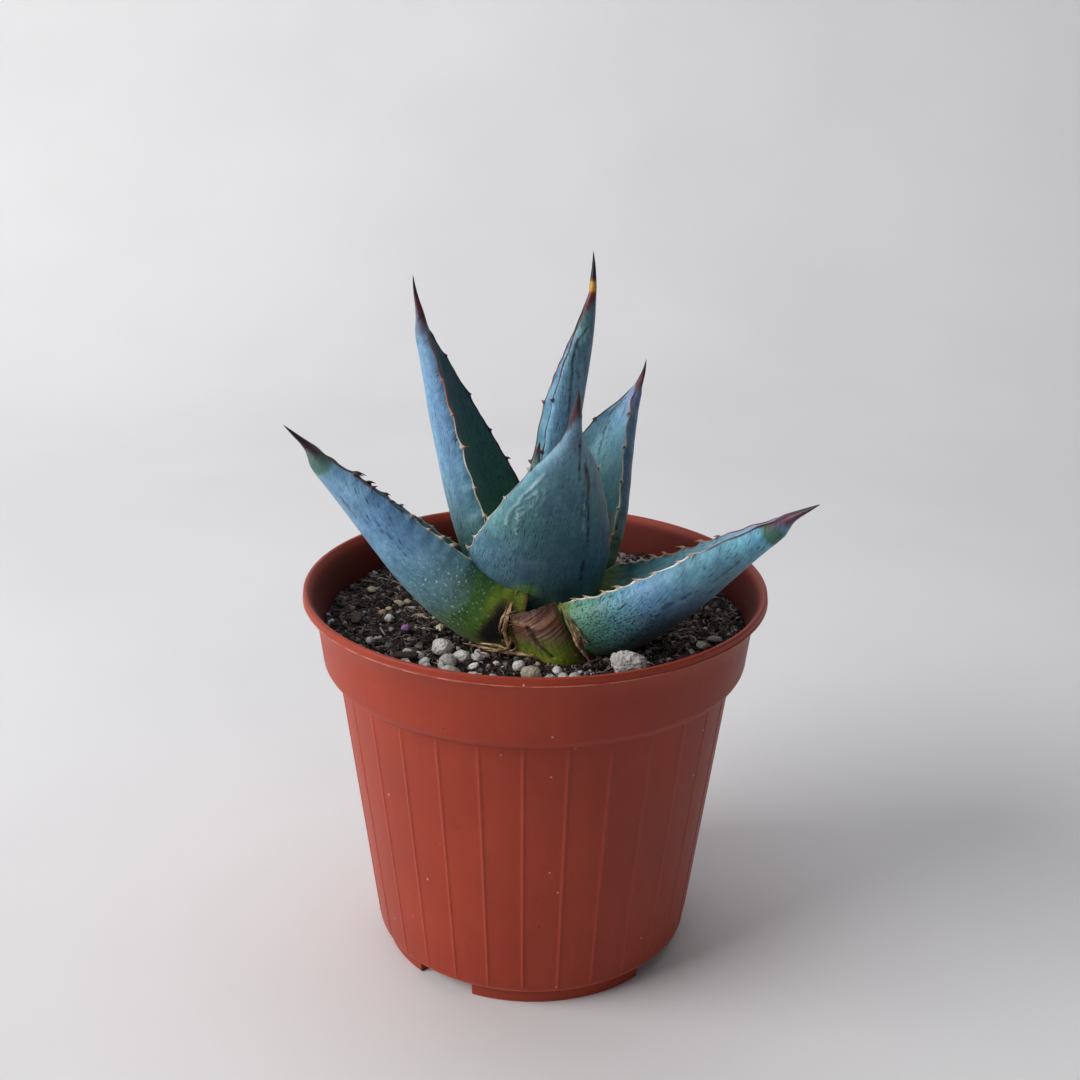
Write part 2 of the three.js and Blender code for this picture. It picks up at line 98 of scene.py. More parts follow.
def value_noise(x, y, seed=0):
    """Smooth noise from 0 to 1 on a plane."""
    x = np.asarray(x, float) + 13.7 * seed
    y = np.asarray(y, float) + 7.3 * seed
    i, j = np.floor(x).astype(int), np.floor(y).astype(int)
    u, v = x - i, y - j
    u, v = u * u * (3 - 2 * u), v * v * (3 - 2 * v)
    at = lambda a, b: TABLE[a % 97, b % 89]
    low = lerp(at(i, j), at(i + 1, j), u)
    high = lerp(at(i, j + 1), at(i + 1, j + 1), u)
    return lerp(low, high, v)


def fractal(x, y, seed=0, octaves=4):
    """Value noise in several sizes, from 0 to 1."""
    total, size, weight = 0, 1.0, 0.5
    for k in range(octaves):
        total = total + weight * value_noise(x * size, y * size, seed + k)
        size *= 2.1
        weight *= 0.5
    return total / (1 - 0.5 ** octaves)


def ramp(x, stops):
    """A colour for each x, from (position, colour) stops."""
    places = [s[0] for s in stops]
    colours = np.array([s[1] for s in stops])
    return np.stack([np.interp(x, places, colours[:, k]) for k in range(3)], -1)


def grid_faces(rows, cols, closed=True):
    """Four-sided faces between the points of a grid, closed round each row or not."""
    r = np.arange(rows - 1)[:, None]
    c = np.arange(cols if closed else cols - 1)[None, :]
    a = r * cols + c
    b = r * cols + (c + 1) % cols
    return np.stack([a, b, b + cols, a + cols], -1).reshape(-1, 4).tolist()


def ring_grid(rows, around):
    """Side from -1 to 1 and height from -1 (outer) to 1 (inner) round each ring of a flat tube."""
    turn = -2 * np.pi * np.arange(around) / around
    return np.cos(turn)[None, :] * np.ones((rows, 1)), np.sin(turn)[None, :] * np.ones((rows, 1))


# ---------------------------------------------------------------- mesh building
def add_object(name, data):
    made = bpy.data.objects.new(name, data)
    bpy.context.scene.collection.objects.link(made)
    return made


def shell_volume(points, faces):
    """Signed volume of a closed shell: negative where its faces point inwards."""
    three = np.array([f[:3] for f in faces])
    four = np.array([[f[0], f[2], f[3]] for f in faces if len(f) == 4]).reshape(-1, 3).astype(int)
    corners = points[np.vstack([three, four])] - points[0]
    return float(np.einsum("ij,ij->i", corners[:, 0], np.cross(corners[:, 1], corners[:, 2])).sum())


class Shells:
    """Closed shells gathered into one mesh.

    Each point has a tint (colour; on the pot it is painted shade on the inside wall), a grain (a place along
    and across the fibres), a horn amount (leaf margin, or on the pot worn edges and a painted highlight line
    along the lip's bead) and marks (x is frost, y is dark specks).
    """

    def __init__(self):
        self.points, self.faces, self.tint, self.grain, self.horn, self.marks = [], [], [], [], [], []
        self.count = 0

    def add(self, points, faces, tint, grain=None, horn=0.0, marks=(0.0, 0.0, 0.0)):
        points = np.asarray(points, float).reshape(-1, 3)
        n = len(points)
        if shell_volume(points, faces) < 0:
            faces = [f[::-1] for f in faces]
        self.points.append(points)
        self.faces.extend([[k + self.count for k in f] for f in faces])
        self.tint.append(np.broadcast_to(np.asarray(tint, float), (n, 3)))
        self.grain.append(points if grain is None else np.asarray(grain, float).reshape(-1, 3))
        self.horn.append(np.broadcast_to(np.asarray(horn, float), (n,)))
        self.marks.append(np.broadcast_to(np.asarray(marks, float), (n, 3)))
        self.count += n

    def tube(self, points, tint, grain=None, horn=0.0, marks=(0.0, 0.0, 0.0)):
        """A closed tube from a grid of rings, with a point added at each end."""
        rows, cols = points.shape[:2]
        ends = np.stack([points[0].mean(0), points[-1].mean(0)])
        flat = np.vstack([points.reshape(-1, 3), ends])
        n = rows * cols
        faces = grid_faces(rows, cols)
        faces += [[n, (k + 1) % cols, k] for k in range(cols)]
        last = n - cols
        faces += [[n + 1, last + k, last + (k + 1) % cols] for k in range(cols)]

        def spread(values, width):
            values = np.asarray(values, float)
            if values.ndim < 2 and values.size == width:
                return values
            values = values.reshape(-1, width) if width > 1 else values.reshape(-1)
            return np.concatenate([values, values[:1], values[-1:]])

        grain = None if grain is None else spread(grain, 3)
        horn = spread(horn, 1) if np.ndim(horn) else horn
        self.add(flat, faces, spread(tint, 3), grain, horn, spread(marks, 3))

    def build(self, name, material, nodes=()):
        points = (np.vstack(self.points) + AXIS) * MM
        mesh = bpy.data.meshes.new(name)
        mesh.from_pydata(points.tolist(), [], self.faces)
        mesh.update()
        rgba = np.hstack([np.vstack(self.tint), np.ones((self.count, 1))])
        for layer, kind, field, values in (
            ("tint", "FLOAT_COLOR", "color", rgba),
            ("grain", "FLOAT_VECTOR", "vector", np.vstack(self.grain)),
            ("horn", "FLOAT", "value", np.concatenate(self.horn)),
            ("marks", "FLOAT_VECTOR", "vector", np.vstack(self.marks)),
        ):
            made = mesh.attributes.new(layer, kind, "POINT")
            made.data.foreach_set(field, values.astype(np.float32).ravel())
        mesh.polygons.foreach_set("use_smooth", [True] * len(mesh.polygons))
        mesh.materials.append(material)
        piece = add_object(name, mesh)
        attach(piece, "root")
        if nodes:
            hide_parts(*nodes)
        return piece


def sweep(centres, radii, sides=8, flat_axis=None, flatness=1.0):
    """Rings round a path of points. flat_axis squashes each ring across that direction."""
    centres = np.asarray(centres, float)
    along = unit(np.gradient(centres, axis=0))
    guide = np.broadcast_to(np.array([0.31, 0.17, 0.93]) if flat_axis is None else flat_axis, along.shape)
    second = unit(np.cross(along, guide))
    first = np.cross(second, along)
    turn = 2 * np.pi * np.arange(sides) / sides
    radii = np.broadcast_to(np.asarray(radii, float), (len(centres),))
    return (centres[:, None]
            + second[:, None] * (np.cos(turn)[None, :, None] * radii[:, None, None])
            + first[:, None] * (np.sin(turn)[None, :, None] * radii[:, None, None] * flatness))


# ---------------------------------------------------------------- material building
class Look:
    """A procedural material, built node by node."""

    def __init__(self, name, roughness=0.6, specular=0.5, **sockets):
        self.material = bpy.data.materials.new(name)
        self.material.use_nodes = True
        self.tree = self.material.node_tree
        self.shader = self.tree.nodes["Principled BSDF"]
        self.shader.inputs["Roughness"].default_value = roughness
        self.shader.inputs["Specular IOR Level"].default_value = specular
        for key, value in sockets.items():
            self.shader.inputs[key.replace("_", " ")].default_value = value
        self.object = self.node("ShaderNodeTexCoord").outputs["Object"]

    def node(self, kind, **settings):
        made = self.tree.nodes.new(kind)
        for key, value in settings.items():
            setattr(made, key, value)
        return made

    def put(self, socket, value):
        if isinstance(value, bpy.types.NodeSocket):
            self.tree.links.new(value, socket)
        elif socket.type == "RGBA" and len(value) == 3:
            socket.default_value = (*value, 1)
        else:
            socket.default_value = value

    def attribute(self, name, output):
        return self.node("ShaderNodeAttribute", attribute_name=name).outputs[output]

    def scaled(self, vector, scale):
        made = self.node("ShaderNodeMapping")
        self.put(made.inputs["Vector"], vector)
        made.inputs["Scale"].default_value = scale
        return made.outputs["Vector"]

    def noise(self, vector, scale, detail=4, rough=0.55, distortion=0.0):
        made = self.node("ShaderNodeTexNoise")
        self.put(made.inputs["Vector"], vector)
        made.inputs["Scale"].default_value = scale
        made.inputs["Detail"].default_value = detail
        made.inputs["Roughness"].default_value = rough
        made.inputs["Distortion"].default_value = distortion
        return made.outputs["Fac"]

    def grained(self, vector, scale, detail, rough=0.55, distortion=0.0):
        """Noise stretched along the grain."""
        return self.noise(self.scaled(vector, scale), 1, detail, rough, distortion)

    def cells(self, vector, scale, output="Distance"):
        made = self.node("ShaderNodeTexVoronoi")
        self.put(made.inputs["Vector"], vector)
        made.inputs["Scale"].default_value = scale
        return made.outputs[output]

    def range(self, value, low, high, to_low=0.0, to_high=1.0):
        """Value from low to high, eased and mapped to the span to_low to to_high."""
        made = self.node("ShaderNodeMapRange", interpolation_type="SMOOTHSTEP")
        self.put(made.inputs["Value"], value)
        for key, number in (("From Min", low), ("From Max", high), ("To Min", to_low), ("To Max", to_high)):
            made.inputs[key].default_value = number
        return made.outputs["Result"]

    def math(self, operation, a, b):
        made = self.node("ShaderNodeMath", operation=operation)
        self.put(made.inputs[0], a)
        self.put(made.inputs[1], b)
        return made.outputs[0]

    def times(self, a, b):
        return self.math("MULTIPLY", a, b)

    def mix(self, factor, a, b, blend="MIX"):
        made = self.node("ShaderNodeMix", data_type="RGBA", blend_type=blend)
        self.put(made.inputs[0], factor)
        self.put(made.inputs[6], a)
        self.put(made.inputs[7], b)
        return made.outputs[2]

    def bump(self, height, distance, strength, under=None):
        made = self.node("ShaderNodeBump")
        made.inputs["Distance"].default_value = distance * MM
        made.inputs["Strength"].default_value = strength
        self.put(made.inputs["Height"], height)
        if under is not None:
            self.put(made.inputs["Normal"], under)
        return made.outputs["Normal"]

    def finish(self, colour, roughness=None, normal=None):
        self.put(self.shader.inputs["Base Color"], colour)
        if roughness is not None:
            self.put(self.shader.inputs["Roughness"], roughness)
        if normal is not None:
            self.put(self.shader.inputs["Normal"], normal)
        return self.material


def pot_look():
    """Terracotta-coloured plastic: clouded, dusted and specked, with worn edges, a painted highlight line
    along the lip's bead and painted shade on the inside wall.
    """
    look = Look("moulded_pot_plastic", specular=0.28)
    wear_and_highlight = look.attribute("horn", "Fac")
    inside = look.attribute("tint", "Color")
    cloud = look.noise(look.object, 38, 5, 0.6)
    streak = look.grained(look.object, (300, 300, 16), 3)
    dust = look.range(look.noise(look.object, 900, 3, 0.7), 0.66, 0.74)
    dust_patch = look.range(look.noise(look.object, 70, 3), 0.5, 0.72, 0, 0.6)
    speck = look.range(look.cells(look.object, 250), 0.0, 0.1, 1.0, 0.0)
    chosen = look.range(look.cells(look.object, 250, output="Color"), 0.6, 0.66)
    speck = look.times(speck, chosen)
    lower = look.scaled(look.object, (1, 1, 0.8))
    dark = look.range(look.cells(lower, 205), 0.0, 0.08, 1.0, 0.0)
    dark = look.times(dark, look.range(look.cells(lower, 205, output="Color"), 0.68, 0.74))
    colour = look.mix(look.range(cloud, 0.3, 0.7), rgb(145, 49, 29), rgb(158, 57, 34))
    colour = look.mix(look.range(streak, 0.35, 0.7, 0, 0.25), colour, rgb(134, 45, 27))
    colour = look.mix(look.times(dust, dust_patch), colour, rgb(182, 110, 94))
    colour = look.mix(look.times(speck, 0.85), colour, rgb(226, 186, 168))
    colour = look.mix(look.times(dark, 0.8), colour, rgb(60, 26, 22))
    # Pale where worn at the edges, plus a painted highlight line along the lip's bead
    broken = look.range(look.noise(look.object, 240, 3, 0.6), 0.36, 0.6, 0.25, 1.0)
    colour = look.mix(look.times(wear_and_highlight, broken), colour, rgb(206, 128, 108))
    # Multiplies in the painted shade on the inside wall, which the tint attribute carries
    colour = look.mix(1.0, colour, inside, "MULTIPLY")
    rough = look.range(cloud, 0.25, 0.75, 0.4, 0.52)
    rough = look.math("ADD", rough, look.range(inside, 0.35, 1.0, 0.36, 0.0))
    grit = look.noise(look.object, 1500, 3, 0.6)
    normal = look.bump(grit, 0.04, 0.5)
    normal = look.bump(streak, 0.05, 0.35, normal)
    normal = look.bump(speck, 0.12, 0.8, normal)
    return look.finish(colour, rough, normal)


def leaf_look():
    """Waxy leaf skin: streaks, bloom and dark dashes along the grain, frost and specks by the marks."""
    look = Look("agave_leaf", specular=0.4, Sheen_Weight=0.08, Sheen_Roughness=0.45)
    tint = look.attribute("tint", "Color")
    grain = look.attribute("grain", "Vector")
    horn = look.attribute("horn", "Fac")
    streak = look.grained(grain, (0.1, 2.6, 2.6), 4, 0.6)
    fine = look.grained(grain, (0.45, 9.0, 9.0), 2, 0.5)
    bloom = look.grained(grain, (0.2, 0.3, 0.3), 6, 0.68, 0.4)
    mottle = look.grained(grain, (0.9, 1.1, 1.1), 4, 0.65)
    speckle = look.grained(grain, (3.0, 3.6, 3.6), 2, 0.6)
    dash = look.range(look.grained(grain, (0.36, 3.6, 3.6), 2, 0.5), 0.61, 0.67)
    tick = look.range(look.grained(grain, (1.0, 6.0, 6.0), 1, 0.5), 0.65, 0.72)
    amounts = look.node("ShaderNodeSeparateXYZ")
    look.put(amounts.inputs[0], look.attribute("marks", "Vector"))
    fleck = look.range(look.grained(grain, (1.5, 4.5, 4.5), 2, 0.5), 0.53, 0.6)
    frost = look.range(look.grained(grain, (1.6, 2.3, 2.3), 3, 0.6), 0.6, 0.66)
    marks = look.math("MAXIMUM", dash, look.times(tick, 0.85))
    patch = look.range(look.grained(grain, (0.05, 0.11, 0.11), 2), 0.4, 0.56, 0.12, 1.0)
    marks = look.times(marks, look.times(patch, 0.82))
    colour = tint
    for amount, tone in (
        (look.range(streak, 0.3, 0.7, 0, 0.55), (0.72, 0.86, 0.94)),
        (look.range(bloom, 0.42, 0.64), (1.34, 1.28, 1.22)),
        (look.range(mottle, 0.38, 0.66, 0, 0.9), (0.66, 0.78, 0.8)),
        (look.range(fine, 0.35, 0.7, 0, 0.8), (0.66, 0.76, 0.78)),
        (look.range(speckle, 0.64, 0.76, 0, 0.75), (1.5, 1.42, 1.38)),
        (marks, (0.14, 0.16, 0.17)),
        (look.times(fleck, amounts.outputs[1]), (0.16, 0.2, 0.2)),
    ):
        colour = look.mix(amount, colour, tone, "MULTIPLY")
    colour = look.mix(look.times(frost, amounts.outputs[0]), colour, rgb(206, 220, 226))
    horny = look.mix(look.range(fine, 0.3, 0.7, 0, 0.5), tint, (0.66, 0.6, 0.56), "MULTIPLY")
    colour = look.mix(horn, colour, horny)
    rough = look.math("SUBTRACT", look.range(bloom, 0.3, 0.7, 0.44, 0.58), look.times(horn, 0.14))
    normal = look.bump(streak, 0.16, 0.6)
    normal = look.bump(fine, 0.07, 0.5, normal)
    normal = look.bump(look.math("SUBTRACT", speckle, marks), 0.09, 0.6, normal)
    return look.finish(colour, rough, normal)


def soil_look():
    """Dark, rough peat."""
    look = Look("peat_soil", specular=0.25)
    tint = look.attribute("tint", "Color")
    lump = look.noise(look.object, 420, 6, 0.65)
    fleck = look.cells(look.object, 1100)
    fibre = look.grained(look.object, (900, 190, 500), 3, 0.6, 1.5)
    colour = look.mix(look.range(lump, 0.35, 0.68), look.mix(0.72, tint, rgb(14, 11, 11)), tint)
    colour = look.mix(look.range(fibre, 0.58, 0.7, 0, 0.45), colour, look.mix(0.6, tint, rgb(120, 98, 80)))
    normal = look.bump(lump, 0.5, 0.9)
    normal = look.bump(fleck, 0.2, 0.6, normal)
    return look.finish(colour, look.range(lump, 0.3, 0.7, 0.95, 0.72), normal)


def mineral_look():
    """Pitted grains: perlite, pumice and gravel."""
    look = Look("grains_and_pumice", specular=0.35)
    tint = look.attribute("tint", "Color")
    grain = look.noise(look.object, 1300, 5, 0.7)
    pit = look.cells(look.object, 1500)
    cloud = look.noise(look.object, 480, 4, 0.6)
    colour = look.mix(look.range(cloud, 0.35, 0.65, 0, 0.55), tint, look.mix(0.55, tint, rgb(92, 86, 84)))
    colour = look.mix(look.range(pit, 0.0, 0.28, 0.75, 0.0), colour, look.mix(0.75, tint, rgb(40, 36, 36)))
    colour = look.mix(look.range(grain, 0.58, 0.75, 0, 0.5), colour, look.mix(0.6, tint, rgb(245, 243, 240)))
    normal = look.bump(grain, 0.3, 0.7)
    normal = look.bump(pit, 0.28, 0.8, normal)
    return look.finish(colour, look.range(grain, 0.3, 0.7, 0.7, 0.92), normal)


def fibre_look(name, light, dark):
    """Dry fibres along the grain, for paper, bark and roots."""
    look = Look(name, specular=0.3)
    tint = look.attribute("tint", "Color")
    grain = look.attribute("grain", "Vector")
    strand = look.grained(grain, (0.35, 5.5, 5.5), 4, 0.65, 0.4)
    patch = look.grained(grain, (0.6, 0.8, 0.8), 4, 0.6)
    colour = look.mix(look.range(strand, 0.35, 0.62, 0, 0.75), tint, look.mix(0.6, tint, dark))
    colour = look.mix(look.range(patch, 0.5, 0.7, 0, 0.5), colour, look.mix(0.55, tint, light))
    normal = look.bump(strand, 0.3, 0.9)
    return look.finish(colour, look.range(patch, 0.3, 0.7, 0.62, 0.86), normal)


POT = pot_look()
LEAF = leaf_look()
SOIL = soil_look()
MINERAL = mineral_look()
PAPER = fibre_look("dry_leaf_paper", rgb(214, 190, 150), rgb(72, 48, 34))
BARK = fibre_look("bark_chip", rgb(96, 78, 66), rgb(28, 20, 18))
ROOT = fibre_look("stem_and_root", rgb(226, 214, 170), rgb(120, 96, 62))


# ---------------------------------------------------------------- camera
def look_from(place, forward, right):
    """World matrix of a camera at a place in millimetres from the pot's axis."""
    forward, right = unit(np.array(forward)), unit(np.array(right))
    up = np.cross(right, forward)
    matrix = Matrix.Identity(4)
    for row in range(3):
        matrix[row][0], matrix[row][1], matrix[row][2] = right[row], up[row], -forward[row]
        matrix[row][3] = (place[row] + AXIS[row]) * MM
    return matrix


lens = bpy.data.cameras.new("camera")
lens.lens = 50
lens.sensor_width = 36
lens.clip_start = 0.01
camera = add_object("camera", lens)
# Place, forward and right of the camera that fits the photo's pot
PLACE, FORWARD = (0, -317.47, 215.33), (0.002494, 0.938419, -0.345489)
RIGHT = (0.999908, 0.002254, 0.013342)
camera.matrix_world = look_from(PLACE, FORWARD, RIGHT)
bpy.context.scene.camera = camera


# ---------------------------------------------------------------- pot
def rounded(profile):
    """A profile of (r, z, rounding) points with its corners turned into short curves."""
    out = []
    count = len(profile)
    for k, (r, z, size) in enumerate(profile):
        here = np.array([r, z])
        if size <= 0 or k in (0, count - 1):
            out.append(here)
            continue
        before = np.array(profile[k - 1][:2]) - here
        after = np.array(profile[k + 1][:2]) - here
        reach = min(size, 0.48 * np.linalg.norm(before), 0.48 * np.linalg.norm(after))
        a, b = here + reach * unit(before), here + reach * unit(after)
        for t in (0, 0.25, 0.5, 0.75, 1):
            out.append((1 - t) ** 2 * a + 2 * t * (1 - t) * here + t * t * b)
    return np.array(out)


def body_radius(z):
    """Outside radius of the tapered body."""
    return lerp(BODY_LOW_R, BODY_TOP_R, (z - FOOT_H) / (COLLAR_BOTTOM - FOOT_H))


def inner_radius(z):
    """Inside radius of the pot, without the rim's flare."""
    shoulder = COLLAR_BOTTOM + COLLAR_ROUND
    if z <= COLLAR_BOTTOM:
        return body_radius(z) - WALL
    if z < shoulder:
        return lerp(body_radius(COLLAR_BOTTOM), COLLAR_LOW_R, (z - COLLAR_BOTTOM) / COLLAR_ROUND) - WALL
    return lerp(COLLAR_LOW_R, COLLAR_TOP_R, (z - shoulder) / (POT_TOP - shoulder)) - WALL


def flare(z):
    """How far the rim leans out below the lip."""
    return FLARE_W * np.clip(1 - (POT_TOP - LIP_H - z) / FLARE_H, 0, 1) ** 2


def make_pot():
    """The moulded pot: a profile turned round the axis, with ribs, foot gaps, worn edges, a painted highlight
    along the lip's bead, painted shade inside and drain holes.
    """
    shoulder = COLLAR_BOTTOM + COLLAR_ROUND
    lip_low = POT_TOP - LIP_H
    outer = [(0, FOOT_H, 0), (8, FOOT_H, 0), (22, FOOT_H, 0), (FOOT_R - FOOT_W - 0.4, FOOT_H, 0)]
    outer += [(FOOT_R - FOOT_W, FOOT_H - 0.3, 0), (FOOT_R - FOOT_W, 0.1, 0.2), (FOOT_R - FOOT_W + 0.3, 0, 0)]
    outer += [(FOOT_R - 0.35, 0, 0), (FOOT_R, 0.35, 0.3), (FOOT_R, FOOT_H - 0.1, 0)]
    outer += [(FOOT_R + 0.3, FOOT_H, 0), (BODY_LOW_R, FOOT_H, 0.9)]
    outer += [(body_radius(z), z, 0) for z in np.linspace(FOOT_H + 1.2, COLLAR_BOTTOM - 1, 34)]
    outer += [(BODY_TOP_R, COLLAR_BOTTOM, 0.35)]
    for angle in (12, 25, 40, 55, 70, 82, 90):
        turn = math.radians(angle)
        width = COLLAR_LOW_R - BODY_TOP_R
        outer.append((BODY_TOP_R + width * math.sin(turn), shoulder - COLLAR_ROUND * math.cos(turn), 0))
    rise = np.linspace(shoulder + 0.6, lip_low - 0.15, 18)
    outer += [(inner_radius(z) + WALL + flare(z), z, 0) for z in rise]
    outer += [(LIP_R - 0.95, lip_low - 0.02, 0.12), (LIP_R - 0.12, lip_low + 0.02, 0.08)]
    outer += [(LIP_R - 0.02, lip_low + 0.14, 0.08), (LIP_R - 0.3, lip_low + 0.34, 0.1)]
    outer += [(LIP_R - 0.18, POT_TOP - 0.1, 0.5), (LIP_R - LIP_T, POT_TOP, 0.4)]
    outer += [(inner_radius(lip_low) + FLARE_W + 0.1, lip_low - 0.1, 0.6)]
    fall = np.linspace(lip_low - 0.7, shoulder + 0.4, 16)
    outer += [(inner_radius(z) + flare(z), z, 0) for z in fall]
    outer += [(inner_radius(shoulder), shoulder, 0.8), (inner_radius(COLLAR_BOTTOM), COLLAR_BOTTOM, 0.8)]
    outer += [(inner_radius(z), z, 0) for z in np.linspace(COLLAR_BOTTOM - 2, FOOT_H + FLOOR_T + 1.5, 8)]
    outer += [(inner_radius(FOOT_H + FLOOR_T), FOOT_H + FLOOR_T, 0.9), (0, FOOT_H + FLOOR_T, 0)]
    profile = rounded(outer)
    pitch = 360 / RIBS
    steps = [-1.2, -0.85, -0.6, -0.4, -0.2, 0, 0.2, 0.4, 0.6, 0.85, 1.2, 2.8, 4.6, 6.4, 8.2, 9.7]
    angles = [k * pitch - 90 + FIRST_RIB + s for k in range(RIBS) for s in steps]
    for k in range(4):
        for edge in (-FOOT_GAP, FOOT_GAP):
            angles += [FIRST_GAP + 90 * k + edge - 0.12, FIRST_GAP + 90 * k + edge + 0.12]
    angles = np.array(sorted(a % 360 for a in angles))
    r = np.repeat(profile[:, 0][:, None], len(angles), 1)
    z = np.repeat(profile[:, 1][:, None], len(angles), 1)
    offset = (angles + 90 - FIRST_RIB + pitch / 2) % pitch - pitch / 2
    middle_r = 42
    near = np.exp(-(np.radians(offset) * middle_r / RIB_W) ** 2)[None, :]
    order, widest = np.arange(len(profile))[:, None], np.argmax(profile[:, 0])
    outside = (order < widest) & (r > FOOT_R + 0.9)
    span = smooth(FOOT_H + 0.4, FOOT_H + 2.2, z) * fade_out(COLLAR_BOTTOM - 1.6, COLLAR_BOTTOM - 0.5, z)
    r = r + outside * RIB_H * near * span
    r = r + outside * 0.05 * np.sin(np.radians(angles) * 3 + 0.7)[None, :] * span
    from_gap = np.abs((angles - FIRST_GAP + 45) % 90 - 45)[None, :]
    in_gap = (from_gap < FOOT_GAP) & (z < FOOT_H - 0.05)
    z = np.where(in_gap, FOOT_H - 0.05 - 0.02 * (FOOT_H - z), z)
    warp = 0.16 * np.sin(2 * np.radians(angles) + 0.6)[None, :] * smooth(60, 88, z)
    r = r + warp * (r > 40)
    turn = np.radians(angles)[None, :]
    points = np.stack([r * np.cos(turn), r * np.sin(turn), z], -1)[1:-1]
    at_collar = (r > BODY_TOP_R - 0.2) & (r < BODY_TOP_R + 0.6)
    # Pale marks: a painted highlight along the lip's bead, and worn plastic at the collar's and foot's edges
    # and on the rib crests
    wear_and_highlight = np.exp(-((z - lip_low - 0.1) / 0.16) ** 2) * (r > LIP_R - 0.25)
    wear_and_highlight = wear_and_highlight + 0.5 * np.exp(-((z - COLLAR_BOTTOM - 0.1) / 0.14) ** 2) * at_collar
    wear_and_highlight = wear_and_highlight + 0.55 * np.exp(-((z - FOOT_H - 0.35) / 0.16) ** 2) * (r > BODY_LOW_R - 0.4)
    wear_and_highlight = wear_and_highlight + 0.06 * near * span * outside
    shells = Shells()
    # Painted shade: the inside wall and floor are darkened from just below the rim downward
    wall = (r < LIP_R - 0.9) & (order > widest)
    painted_inner_shade = lerp(1.0, np.array([0.32, 0.25, 0.26]), (wall * smooth(0, 2, POT_TOP - 0.4 - z))[..., None])
    shells.tube(points, painted_inner_shade[1:-1], None, np.clip(wear_and_highlight, 0, 1)[1:-1])
    pot = shells.build("moulded_pot", POT, ["pot"])

    holes = Shells()
    for k in range(4):
        turn = math.radians(FIRST_GAP + 90 * k)
        x, y = HOLE_CIRCLE * math.cos(turn), HOLE_CIRCLE * math.sin(turn)
        path = [(x, y, height) for height in (1.6, 3.9, 4.1, 5.5, 5.7, 8.4)]
        radii = [HOLE_R, HOLE_R, HOLE_WAIST, HOLE_WAIST, HOLE_R, HOLE_R]
        rings = sweep(path, radii, 40, np.array([1.0, 0, 0]))
        holes.tube(rings, np.ones(rings.shape))
    cutter = holes.build("cutter", POT)
    for mesh in (pot.data, cutter.data):
        orient(mesh)
    cut = pot.modifiers.new("drain_holes", "BOOLEAN")
    cut.operation = "DIFFERENCE"
    cut.object = cutter
    bpy.context.view_layer.update()
    result = bpy.data.meshes.new_from_object(pot.evaluated_get(bpy.context.evaluated_depsgraph_get()))
    pot.modifiers.clear()
    old, pot.data = pot.data, result
    bpy.data.meshes.remove(old)
    bpy.data.objects.remove(cutter)
    pot.data.name = "moulded_pot"


def orient(mesh):
    """Turns a closed mesh's faces outward."""
    work = bmesh.new()
    work.from_mesh(mesh)
    if work.calc_volume(signed=True) < 0:
        bmesh.ops.reverse_faces(work, faces=work.faces)
    work.to_mesh(mesh)
    work.free()


